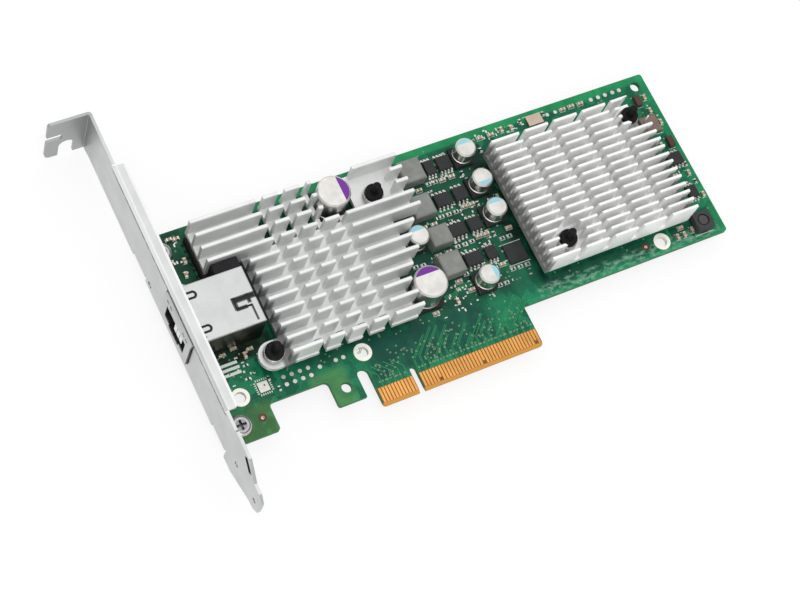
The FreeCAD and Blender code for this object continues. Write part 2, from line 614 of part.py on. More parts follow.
def io_bracket():
    body = joined([bracket_plate(), top_bend(), bracket_tab(), bracket_flange()])
    cutters = []
    for y in EAR_YS:
        cutters += ear_relief(y)
    cutters.append(jack_cut_out())
    cutters.append(along_x(PLATE_OUT - 1, PLATE_IN + 1, VENT_HOLE[0], VENT_HOLE[1], VENT_HOLE_R))
    body = body.cut(cutters)
    body = joined([body] + [bracket_ear(y) for y in EAR_YS])
    holes = [disc(EAR_X, y, EAR_HOLE_R, EAR_LOW - EAR_COLLAR_H - 1, EAR_TOP + 1) for y in EAR_YS]
    return body.cut(holes).removeSplitter()


def pan_screw(x, y):
    """A pan-head cross-recess screw through the board into a bracket ear."""
    shank = disc(x, y, SCREW_R, -SCREW_LEN, 0)
    head = disc(x, y, SCREW_HEAD_R, 0, SCREW_HEAD_H)
    head = head.makeFillet(SCREW_HEAD_H * 0.45, top_edges(head, SCREW_HEAD_H))
    z0 = SCREW_HEAD_H - CROSS_DEEP
    cross = [block(x, y, CROSS_LEN, CROSS_W, z0, SCREW_HEAD_H + 1),
             block(x, y, CROSS_W, CROSS_LEN, z0, SCREW_HEAD_H + 1)]
    return joined([head.cut(cross), shank])


# ---- jack --------------------------------------------------------------------------------
def shield_leg_places():
    """Where the shield's legs pass through the board."""
    side = JACK_W / 2 - SHIELD_T / 2
    return [(JACK_FRONT + x, JACK_Y + s * side) for x in JACK_LEG_BACK for s in (-1, 1)]


def shield_window():
    """The slots round the shield's small tongue, and the folded seam beside it."""
    x0 = JACK_BACK - WINDOW_L
    z0 = JACK_H - 1
    z1 = JACK_H + 1
    high = JACK_Y + WINDOW_SIDE
    low = JACK_Y - TONGUE_SLOT_OUT
    wide = box(x0, JACK_BACK + 1, high - WINDOW_W, high, z0, z1)
    end = box(x0, x0 + TONGUE_END_W, low, high, z0, z1)
    x1 = JACK_BACK - TONGUE_SLOT_SHORT
    thin = box(x0, x1, low, low + TONGUE_SLOT_W, z0, z1)
    last = box(x1 - TONGUE_END_W, x1, low + TONGUE_SLOT_W + TONGUE_NECK, high, z0, z1)
    seam = box(x1 - SEAM_W, x1, JACK_Y - SEAM_LOW, low, JACK_H - SEAM_DEEP, z1)
    return [wide, end, thin, last, seam]


def spring_cut(y):
    """A U-shaped cut that frees one contact spring in the shield's top."""
    x0 = JACK_FRONT + SPRING_CUT_BACK
    x1 = x0 + SPRING_CUT_L
    round_x = x1 - SPRING_CUT_HALF
    outer = round_strip(x0, round_x, y, SPRING_CUT_HALF)
    return outer.cut(round_strip(x0 - 1, round_x, y, SPRING_TONGUE_HALF))


def round_strip(x0, round_x, y, half):
    """A strip through the shield's top, with a half-round end at its far side."""
    strip = box(x0, round_x, y - half, y + half, JACK_H - 1, JACK_H + 1)
    return strip.fuse(disc(round_x, y, half, JACK_H - 1, JACK_H + 1))


def jack_shield():
    half = JACK_W / 2
    outer = box(JACK_FRONT, JACK_BACK, JACK_Y - half, JACK_Y + half, 0, JACK_H)
    corners = [e for e in top_edges(outer, JACK_H)]
    outer = outer.makeFillet(0.4, corners)
    inner = box(JACK_FRONT + SHIELD_T, JACK_BACK - SHIELD_T, JACK_Y - half + SHIELD_T,
                JACK_Y + half - SHIELD_T, -1, JACK_H - SHIELD_T)
    shell = outer.cut(inner)
    cutters = [port_opening(JACK_FRONT - 1, JACK_FRONT + 1, 0.0)]
    cutters += [spring_cut(JACK_Y + SPRING_CUT_OUT), spring_cut(JACK_Y - SPRING_CUT_OUT)]
    cutters += shield_window()
    for y in light_places():
        cutters.append(along_x(JACK_FRONT - 1, JACK_FRONT + 1, y, LIGHT_Z, LIGHT_R + LIGHT_HOLE_CLEAR))
    shell = shell.cut(cutters)
    legs = []
    for x, y in shield_leg_places():
        legs.append(block(x, y, JACK_LEG_W, SHIELD_T, -JACK_LEG_L, 0.6))
    return joined([shell] + legs)


def jack_housing():
    half = JACK_W / 2 - SHIELD_T - SHIELD_FIT
    x0 = JACK_FRONT + SHIELD_T + SHIELD_FIT
    x1 = JACK_BACK - SHIELD_T - SHIELD_FIT
    body = box(x0, x1, JACK_Y - half, JACK_Y + half, 0, JACK_H - SHIELD_T - SHIELD_FIT)
    cavity = port_opening(x0 - 1, x0 + PORT_DEEP, 0.0)
    cutters = [cavity]
    for y in light_places():
        cutters.append(along_x(x0 - 1, x0 + LIGHT_LEN, y, LIGHT_Z, LIGHT_R + LIGHT_HOLE_CLEAR))
    for i in range(PIN_COUNT):
        y = pin_y(i)
        slot_half = PIN_T / 2 + PIN_GROOVE_CLEAR
        cutters.append(box(x0 + PIN_GROOVE_BACK, x0 + PORT_DEEP, y - slot_half, y + slot_half,
                           PORT_LOW + PORT_H - PIN_GROOVE_IN, PORT_LOW + PORT_H + PIN_GROOVE_H))
    return body.cut(cutters).removeSplitter()


def pin_y(index):
    return JACK_Y + (index - (PIN_COUNT - 1) / 2) * PIN_PITCH


def jack_contact(index):
    """One sprung contact wire: it lies in its groove and slants into the port."""
    x0 = JACK_FRONT + SHIELD_T + SHIELD_FIT
    high = PORT_LOW + PORT_H + PIN_GROOVE_H - PIN_TOP_GAP
    start = x0 + PIN_BACK
    flat = start + PIN_FLAT_L
    tip = x0 + PORT_DEEP - PIN_END_SHORT
    low = high - PIN_DROP
    t = PIN_T
    outline = [(start, high), (start, high - t), (flat, high - t), (tip, low),
               (tip + t, low + PIN_END_H), (flat + t / 2, high)]
    points = [V(x, pin_y(index) - t / 2, z) for x, z in outline]
    return Part.Face(Part.makePolygon(points + [points[0]])).extrude(V(0, t, 0))


def light_pipe(y):
    x1 = JACK_FRONT + SHIELD_T + SHIELD_FIT + LIGHT_LEN
    return along_x(JACK_FRONT + LIGHT_IN, x1, y, LIGHT_Z, LIGHT_R)


def magnetics_module():
    body = box(MAG_X[0], MAG_X[1], MAG_Y[0], MAG_Y[1], 0.1, MAG_H)
    body = body.makeChamfer(0.2, top_edges(body, MAG_H))
    wing_low = big_fin_y(BIG_FIN_COUNT - BIG_WING_FINS) - BIG_FIN_T / 2
    tall = box(MAG_TALL_X[0], MAG_TALL_X[1], MAG_Y[0], wing_low - MAG_TALL_CLEAR, 0.1, MAG_TALL_H)
    tall = tall.makeChamfer(0.3, top_edges(tall, MAG_TALL_H))
    feet = []
    run = MAG_Y[1] - MAG_Y[0]
    for i in range(MAG_LEADS):
        y = MAG_Y[0] + run * (i + 0.5) / MAG_LEADS
        feet.append(box(MAG_X[0] - 0.8, MAG_X[0] + 0.5, y - 0.3, y + 0.3, 0, 0.3))
    return joined([body, tall] + feet)


# ---- heatsinks -----------------------------------------------------------------------------
def fin(x0, x1, y, thick, base_top):
    """One length of fin with its top edges eased."""
    half = thick / 2
    c = FIN_CHAMFER
    outline = [(y - half, base_top - 0.2), (y + half, base_top - 0.2), (y + half, FIN_TOP - c),
               (y + half - c, FIN_TOP), (y - half + c, FIN_TOP), (y - half, FIN_TOP - c)]
    points = [V(x0, a, b) for a, b in outline]
    return Part.Face(Part.makePolygon(points + [points[0]])).extrude(V(x1 - x0, 0, 0))


def spans(x0, x1, cuts, width):
    """Lengths left of a run when cross cuts are sawn through it."""
    runs = []
    start = x0
    for middle in cuts:
        if middle + width / 2 <= x0 or middle - width / 2 >= x1:
            continue
        if middle - width / 2 > start:
            runs.append((start, middle - width / 2))
        start = middle + width / 2
    if start < x1:
        runs.append((start, x1))
    return runs


def big_fin_y(row):
    return BIG_FIRST_Y + row * BIG_PITCH


def big_cap_bay():
    """The bay in the large heatsink for the tall capacitor: X0, X1 and its lower Y."""
    x, y = BIG_CAPS[1]
    reach = BIG_CAP_R + BIG_CAP_BAY
    return x - reach, x + reach, y - reach


def big_base():
    """The large base plate: main field, wing beside the jack, ear and bays."""
    z0 = BIG_BASE_LOW
    z1 = BIG_BASE_TOP
    low = BIG_FIRST_Y - BIG_FIN_T / 2 - BIG_EDGE_LOW
    top = big_fin_y(BIG_FIN_COUNT - 1) + BIG_FIN_T / 2 + BIG_EDGE_TOP
    first_end = big_fin_y(1) - BIG_FIN_T / 2 - BIG_CUT_SHORT
    wing_low = big_fin_y(BIG_FIN_COUNT - BIG_WING_FINS) - BIG_FIN_T / 2
    mid_y = big_fin_y(4) - BIG_PITCH / 2
    high_y = big_fin_y(7) + BIG_PITCH / 2
    ear_x, ear_y = BIG_PIN_EAR
    pieces = [box(BIG_LEFT, BIG_BASE_RIGHT_LOW, low, top, z0, z1),
              box(BIG_BASE_RIGHT_LOW, BIG_BASE_RIGHT_MID, mid_y, top, z0, z1),
              box(BIG_BASE_RIGHT_MID, BIG_BASE_RIGHT_TOP, high_y, top, z0, z1),
              box(BIG_WING_LEFT, BIG_LEFT, wing_low, top, z0, z1),
              disc(ear_x, ear_y, BIG_EAR_R, z0, z1),
              box(ear_x, BIG_LEFT, ear_y - BIG_EAR_R, ear_y + BIG_EAR_R, z0, z1)]
    base = joined(pieces)
    bay_left, bay_right, bay_low = big_cap_bay()
    cutters = [box(bay_left, bay_right, bay_low, top + 1, z0 - 1, z1 + 1)]
    for middle in BIG_CUTS:
        x0 = middle - BIG_CUT_W / 2
        x1 = middle + BIG_CUT_W / 2
        cutters.append(box(x0, x1, low - 1, first_end, z0 - 1, z1 + 1))
        cutters.append(box(x0, x1, wing_low + BIG_FIN_T, top + 1, z0 - 1, z1 + 1))
    for x, y in (BIG_PIN_EAR, BIG_PIN_FAR):
        cutters.append(disc(x, y, PUSH_STEM_R + PUSH_HOLE_CLEAR, z0 - 1, z1 + 1))
    return base.cut(cutters)


def big_row_runs(row):
    """The lengths of fin in one row of the large heatsink."""
    wing = row >= BIG_FIN_COUNT - BIG_WING_FINS
    left = BIG_WING_LEFT if wing else BIG_LEFT
    runs = spans(left, BIG_FIN_ENDS[row], BIG_CUTS, BIG_CUT_W)
    if row < BIG_FIN_COUNT - BIG_WING_FINS + 1:
        return runs
    bay_left, bay_right, _ = big_cap_bay()
    if row == BIG_FIN_COUNT - 1:
        keep_from = BIG_CLEAR_LEFT + BIG_CLEAR_TOP_ROW
    else:
        keep_from = BIG_CLEAR_RIGHT
    cleared = []
    for x0, x1 in runs:
        if x0 < bay_left:
            cleared.append((x0, min(x1, bay_left)))
        if x1 > keep_from:
            cleared.append((max(x0, keep_from), x1))
    return cleared


def phy_heatsink():
    fins = []
    for row in range(BIG_FIN_COUNT):
        for x0, x1 in big_row_runs(row):
            fins.append(fin(x0, x1, big_fin_y(row), BIG_FIN_T, BIG_BASE_TOP))
    return joined([big_base()] + fins)


def small_fin_y(row):
    return SMALL_FIRST_Y + row * SMALL_PITCH


def controller_heatsink():
    low = SMALL_FIRST_Y - SMALL_FIN_T / 2
    top = small_fin_y(SMALL_FIN_COUNT - 1) + SMALL_FIN_T / 2
    base = box(SMALL_LEFT, SMALL_RIGHT, low, top, SMALL_BASE_LOW, SMALL_BASE_TOP)
    fins = []
    for row in range(SMALL_FIN_COUNT):
        for x0, x1 in spans(SMALL_LEFT, SMALL_RIGHT, SMALL_CUTS, SMALL_CUT_W):
            fins.append(fin(x0, x1, small_fin_y(row), SMALL_FIN_T, SMALL_BASE_TOP))
    body = joined([base] + fins)
    cutters = []
    for x, y in SMALL_PINS:
        cutters.append(disc(x, y, SMALL_POCKET_R, SMALL_BASE_TOP, FIN_TOP + 1))
        cutters.append(disc(x, y, PUSH_STEM_R + PUSH_HOLE_CLEAR, 0, FIN_TOP))
    corner_x, corner_y = SMALL_PINS[1]
    cutters.append(box(corner_x, SMALL_RIGHT + 1, corner_y, top + 1, SMALL_BASE_TOP, FIN_TOP + 1))
    return body.cut(cutters).removeSplitter()


def push_pin(x, y):
    """A split push pin: round head with a knob, stem and a barb under the board."""
    head = disc(x, y, PUSH_HEAD_R, PUSH_HEAD_Z, PUSH_HEAD_Z + PUSH_HEAD_H)
    head = head.makeFillet(0.5, top_edges(head, PUSH_HEAD_Z + PUSH_HEAD_H))
    knob_top = PUSH_HEAD_Z + PUSH_HEAD_H + PUSH_KNOB_H
    knob = disc(x, y, PUSH_KNOB_R, PUSH_HEAD_Z + PUSH_HEAD_H, knob_top)
    knob = knob.makeFillet(PUSH_KNOB_R * 0.6, top_edges(knob, knob_top))
    stem = disc(x, y, PUSH_STEM_R, PUSH_BARB_LOW + 0.4, PUSH_HEAD_Z)
    barb_top = BACK_Z - 0.05
    barb = Part.makeCone(PUSH_STEM_R * 0.75, PUSH_BARB_R, barb_top - PUSH_BARB_LOW,
                         V(x, y, PUSH_BARB_LOW))
    split = block(x, y, 0.6, 2 * PUSH_BARB_R + 1, PUSH_BARB_LOW - 1, BACK_Z - 0.4)
    return joined([head, knob, stem, barb]).cut(split)


def pin_spring(x, y, seat_z):
    """The spring between a heatsink's seat and the push pin's head."""
    free = PUSH_HEAD_Z - seat_z - SPRING_WIRE - 2 * SPRING_GAP
    z0 = seat_z + SPRING_GAP + SPRING_WIRE / 2
    rise = free / SPRING_TURNS / 2
    halves = []
    for i in range(2 * round(SPRING_TURNS)):
        side = 1 if i % 2 == 0 else -1
        start = V(side * SPRING_R, 0, i * rise)
        wire = Part.Face(Part.Wire(Part.Circle(start, V(0, 1, 0), SPRING_WIRE / 2).toShape()))
        axis = V(side * rise / 2, 0, SPRING_R)
        halves.append(wire.revolve(V(0, 0, (i + 0.5) * rise), axis, 180))
    coil = joined(halves)
    coil.translate(V(x, y, z0))
    return coil


# ---- power parts and chips --------------------------------------------------------------------
def capacitor_can(x, y, radius, height):
    """A rolled aluminium can with its crimp groove and rounded top edge."""
    z0 = CAP_BASE_H
    neck = z0 + CAP_NECK_UP
    inset = CAP_NECK_IN
    outline = [(0, z0), (radius, z0), (radius, neck), (radius - inset, neck + CAP_NECK_H / 3),
               (radius - inset, neck + CAP_NECK_H * 2 / 3), (radius, neck + CAP_NECK_H),
               (radius, height - CAP_EDGE_R), (radius - CAP_EDGE_R, height), (0, height)]
    points = [V(r, 0, z) for r, z in outline]
    can = Part.Face(Part.makePolygon(points + [points[0]])).revolve(V(0, 0, 0), V(0, 0, 1), 360)
    can.translate(V(x, y, 0))
    return can


def capacitor_base(x, y, radius):
    """The square moulded foot with two cut corners, which carries the can."""
    side = 2 * (radius + CAP_BASE_OVER)
    base = block(x, y, side, side, 0, CAP_BASE_H)
    h = side / 2
    cut_corners = upright_edges(base, [(x + h, y - h), (x + h, y + h)])
    return base.makeChamfer(radius * 0.3, cut_corners)


def inductor(x, y, length, width):
    """A pressed power inductor with a plated foot at each end."""
    core = block(x, y, length, width, 0.15, INDUCTOR_H)
    core = core.makeChamfer(INDUCTOR_EDGE, top_edges(core, INDUCTOR_H))
    feet = [box(x + s * (length / 2 - 0.8) - 0.9, x + s * (length / 2 - 0.8) + 0.9, y - width * 0.3,
                y + width * 0.3, 0, INDUCTOR_FOOT) for s in (-1, 1)]
    return joined([core] + feet)


def chip_body(x, y, length, width):
    body = block(x, y, length, width, LEADED_LIFT, LEADED_H)
    return body.makeChamfer(0.18, top_edges(body, LEADED_H))


def gull_lead(x, y_root, sign):
    """One bent lead: out of the body's middle, down and flat on the board."""
    mid = LEADED_H * 0.5
    t = LEAD_T
    reach = LEAD_REACH
    outline = [(0, mid), (reach * 0.35 + t, mid), (reach * 0.45 + t, t), (reach, t), (reach, 0),
               (reach * 0.45, 0), (reach * 0.35, mid - t), (0, mid - t)]
    points = [V(x - LEAD_W / 2, y_root + sign * out, z) for out, z in outline]
    return Part.Face(Part.makePolygon(points + [points[0]])).extrude(V(LEAD_W, 0, 0))


def chip_leads():
    leads = []
    for _, x, y, length, width, count in LEADED:
        pitch = min(LEAD_PITCH, length / count)
        for i in range(round(count)):
            lx = x + (i - (count - 1) / 2) * pitch
            for sign in (-1, 1):
                leads.append(gull_lead(lx, y + sign * width / 2, sign))
    return leads


def shielded_inductor():
    x, y, side, height = SHIELDED
    body = block(x, y, side, side, 0, height)
    body = body.makeFillet(0.7, upright_edges(body, [(x + a * side / 2, y + b * side / 2)
                                                     for a in (-1, 1) for b in (-1, 1)]))
    well = disc(x, y, SHIELDED_WELL_R, height - SHIELDED_WELL_DEEP, height + 1)
    return body.cut(well)


def chip_part(x, y, turned, size):
    length, width, height = size
    if turned:
        length, width = width, length
    return block(x, y, length, width, 0, height)


def square_chip():
    x, y, side, height = SQUARE_CHIP
    body = block(x, y, side, side, 0, height)
    return body.makeChamfer(0.12, top_edges(body, height))


def lidded_chip(x, y, side, height):
    """A ball-grid chip: substrate with a smaller moulded cap."""
    split = height * CAP_SPLIT
    cap = side - 2 * CAP_IN
    lower = block(x, y, side, side, BALL_H, split)
    upper = block(x, y, cap, cap, split, height)
    return joined([lower, upper])


def pad_under(x, y, side, z0, z1):
    pad = side - 2 * THERMAL_PAD_IN
    return block(x, y, pad, pad, z0, z1)


def chip_balls(x, y, side):
    """The solder layer that joins a ball-grid chip to the board."""
    field = side - 2 * CAP_IN
    pitch = field / (BALL_ROWS - 1)
    start = -field / 2
    return [disc(x + start + i * pitch, y + start + j * pitch, BALL_R, 0, BALL_H)
            for i in range(BALL_ROWS) for j in range(BALL_ROWS)]


def main():
    os.makedirs("parts", exist_ok=True)
    save("circuit_board", circuit_board())
    front = {("right", i) for i in PRESENCE_PADS}
    save("contact_fingers_front", group(contact_pads(0.0, front)))
    save("contact_fingers_back", group(contact_pads(BACK_Z - PAD_THICK, {("left", PADS_LEFT - 1)})))
    save("hole_rings", group(hole_rings()))
    save("io_bracket", io_bracket())
    save("bracket_screws", group([pan_screw(EAR_X, y) for y in EAR_YS]))
    save("jack_shield", jack_shield())
    save("jack_housing", jack_housing())
    save("jack_contacts", group([jack_contact(i) for i in range(PIN_COUNT)]))
    save("jack_light_pipes", group([light_pipe(y) for y in light_places()]))
    save("magnetics_module", magnetics_module())
    save("phy_heatsink", phy_heatsink())
    save("phy_chip", lidded_chip(LINE_CHIP_X, LINE_CHIP_Y, LINE_CHIP, LINE_CHIP_H))
    save("phy_thermal_pad", pad_under(LINE_CHIP_X, LINE_CHIP_Y, LINE_CHIP, LINE_CHIP_H, BIG_BASE_LOW))
    save("controller_heatsink", controller_heatsink())
    save("controller_chip", lidded_chip(CONTROL_CHIP_X, CONTROL_CHIP_Y, CONTROL_CHIP, CONTROL_CHIP_H))
    save("controller_thermal_pad", pad_under(CONTROL_CHIP_X, CONTROL_CHIP_Y, CONTROL_CHIP,
                                             CONTROL_CHIP_H, SMALL_BASE_LOW))
    balls = chip_balls(LINE_CHIP_X, LINE_CHIP_Y, LINE_CHIP)
    balls += chip_balls(CONTROL_CHIP_X, CONTROL_CHIP_Y, CONTROL_CHIP)
    save("chip_solder_balls", group(balls))
    save("heatsink_push_pins", group([push_pin(x, y) for x, y in push_pin_places()]))
    springs = [pin_spring(x, y, BIG_BASE_TOP) for x, y in (BIG_PIN_EAR, BIG_PIN_FAR)]
    springs += [pin_spring(x, y, SMALL_BASE_TOP) for x, y in SMALL_PINS]
    save("heatsink_pin_springs", group(springs))
    for i, (x, y) in enumerate(SMALL_CAPS, 1):
        save("small_capacitor_%d_can" % i, capacitor_can(x, y, SMALL_CAP_R, SMALL_CAP_H))
        save("small_capacitor_%d_base" % i, capacitor_base(x, y, SMALL_CAP_R))
    for i, (x, y) in enumerate(BIG_CAPS, 1):
        save("large_capacitor_%d_can" % i, capacitor_can(x, y, BIG_CAP_R, BIG_CAP_H))
        save("large_capacitor_%d_base" % i, capacitor_base(x, y, BIG_CAP_R))
    for i, sizes in enumerate(INDUCTORS, 1):
        save("power_inductor_%d" % i, inductor(*sizes))
    for name, x, y, length, width, _ in LEADED:
        save(name, chip_body(x, y, length, width))
    save("chip_leads", group(chip_leads()))
    save("square_chip", square_chip())
    save("shielded_inductor", shielded_inductor())
    for name, x, y, length, width, height in CRYSTALS:
        save(name, block(x, y, length, width, 0, height))
    save("tantalum_capacitors", group([block(x, y, TANTAL_W, TANTAL_L, 0, TANTAL_H)
                                       for x, y in TANTALS]))
    save("ceramic_capacitors", group([chip_part(x, y, t, CERAMIC) for x, y, t in CERAMICS]))
    save("chip_resistors", group([chip_part(x, y, t, RESISTOR) for x, y, t in RESISTORS]))


main()
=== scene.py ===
"""Looks of a network interface card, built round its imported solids.

Each sub-assembly is a class that dresses its own solids and adds the small pieces that
the solids leave out. The row frame has X along the card away from the bracket, Y up the
board and Z out of the component face. Sizes are written in millimetres, and every mesh
is made in metres.
"""
import logging
import math
import random
from dataclasses import dataclass
from enum import Enum
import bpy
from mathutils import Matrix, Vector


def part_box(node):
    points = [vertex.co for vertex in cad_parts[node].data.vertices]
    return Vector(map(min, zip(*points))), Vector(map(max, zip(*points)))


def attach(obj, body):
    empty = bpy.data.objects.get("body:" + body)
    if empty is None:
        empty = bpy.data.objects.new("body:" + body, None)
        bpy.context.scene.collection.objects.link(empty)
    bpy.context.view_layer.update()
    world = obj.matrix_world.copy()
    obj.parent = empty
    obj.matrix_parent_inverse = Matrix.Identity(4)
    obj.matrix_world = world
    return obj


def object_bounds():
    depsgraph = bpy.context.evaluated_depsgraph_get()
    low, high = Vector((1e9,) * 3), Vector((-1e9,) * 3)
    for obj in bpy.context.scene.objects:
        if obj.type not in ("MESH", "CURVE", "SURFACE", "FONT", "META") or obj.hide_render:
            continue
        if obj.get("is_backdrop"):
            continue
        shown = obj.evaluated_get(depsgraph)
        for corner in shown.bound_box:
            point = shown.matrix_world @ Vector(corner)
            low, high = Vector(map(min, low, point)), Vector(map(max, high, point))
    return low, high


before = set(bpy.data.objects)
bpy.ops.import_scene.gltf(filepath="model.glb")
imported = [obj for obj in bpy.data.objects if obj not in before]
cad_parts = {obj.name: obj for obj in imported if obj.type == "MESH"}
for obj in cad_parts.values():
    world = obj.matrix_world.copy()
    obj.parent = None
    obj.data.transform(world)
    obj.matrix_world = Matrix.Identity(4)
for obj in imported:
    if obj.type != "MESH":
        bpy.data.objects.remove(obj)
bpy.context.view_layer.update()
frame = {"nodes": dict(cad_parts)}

from fnmatch import filter as matching
from typing import Any, ClassVar, Iterable, Union

import bmesh
import bpy
from mathutils import Matrix, Vector

logging.basicConfig(level=logging.INFO, format="%(message)s")
log = logging.getLogger("card")

MM = 0.001
Colour = tuple[float, float, float]
Spot = tuple[float, float]
Place = tuple[float, float, float]
Box = tuple[Place, Place]


def shade(red: int, green: int, blue: int) -> Colour:
    """Turn a colour on the usual 0 to 255 scale into linear light.

    Args:
        red: Red part, 0 to 255.
        green: Green part, 0 to 255.
        blue: Blue part, 0 to 255.

    Returns:
        The colour in linear light.
    """
    def lin(value: int) -> float:
        """One channel in linear light."""
        part = value / 255
        return part / 12.92 if part <= 0.04045 else ((part + 0.055) / 1.055) ** 2.4
    return lin(red), lin(green), lin(blue)


def scaled(colour: Colour, share: float) -> Colour:
    """The same colour at a share of its brightness."""
    return tuple(part * share for part in colour)


class Tone(Enum):
    """Main colours of the card."""

    STEEL = shade(205, 206, 206)
    TIN = shade(222, 220, 214)
    GOLD = shade(232, 167, 93)
    BLACK = shade(34, 34, 36)
    CHIP = shade(46, 47, 48)
    GREEN = shade(30, 122, 84)
    DEEP_GREEN = shade(12, 86, 62)
    FIBRE = shade(64, 126, 82)
    PRINT = shade(214, 220, 212)


# ---- shader maths -----------------------------------------------------------------


class Sock:
    """A shader socket that can be used in sums."""

    def __init__(self, tree: bpy.types.NodeTree, socket: bpy.types.NodeSocket) -> None:
        """Keep the socket and the tree it belongs to."""
        self.tree = tree
        self.socket = socket

    def _math(self, operation: str, first: Any, second: Any = None) -> "Sock":
        """Add one Math node.

        Args:
            operation: The node's operation.
            first: First value, a number or a Sock.
            second: Second value, where the operation has one.

        Returns:
            The node's result.
        """
        node = self.tree.nodes.new("ShaderNodeMath")
        node.operation = operation
        for place, value in enumerate((first, second)):
            if isinstance(value, Sock):
                self.tree.links.new(value.socket, node.inputs[place])
            elif value is not None:
                node.inputs[place].default_value = value
        return Sock(self.tree, node.outputs[0])

    def __add__(self, other: Any) -> "Sock":
        """Sum."""
        return self._math("ADD", self, other)

    def __radd__(self, other: Any) -> "Sock":
        """Sum, with the number first."""
        return self._math("ADD", other, self)

    def __sub__(self, other: Any) -> "Sock":
        """Difference."""
        return self._math("SUBTRACT", self, other)

    def __rsub__(self, other: Any) -> "Sock":
        """Difference, with the number first."""
        return self._math("SUBTRACT", other, self)

    def __mul__(self, other: Any) -> "Sock":
        """Product."""
        return self._math("MULTIPLY", self, other)

    def __rmul__(self, other: Any) -> "Sock":
        """Product, with the number first."""
        return self._math("MULTIPLY", other, self)

    def __gt__(self, other: Any) -> "Sock":
        """1 where the value is above the other."""
        return self._math("GREATER_THAN", self, other)

    def __lt__(self, other: Any) -> "Sock":
        """1 where the value is below the other."""
        return self._math("LESS_THAN", self, other)

    def __abs__(self) -> "Sock":
        """Size without its sign."""
        return self._math("ABSOLUTE", self)


Value = Union[float, int, tuple, Sock]


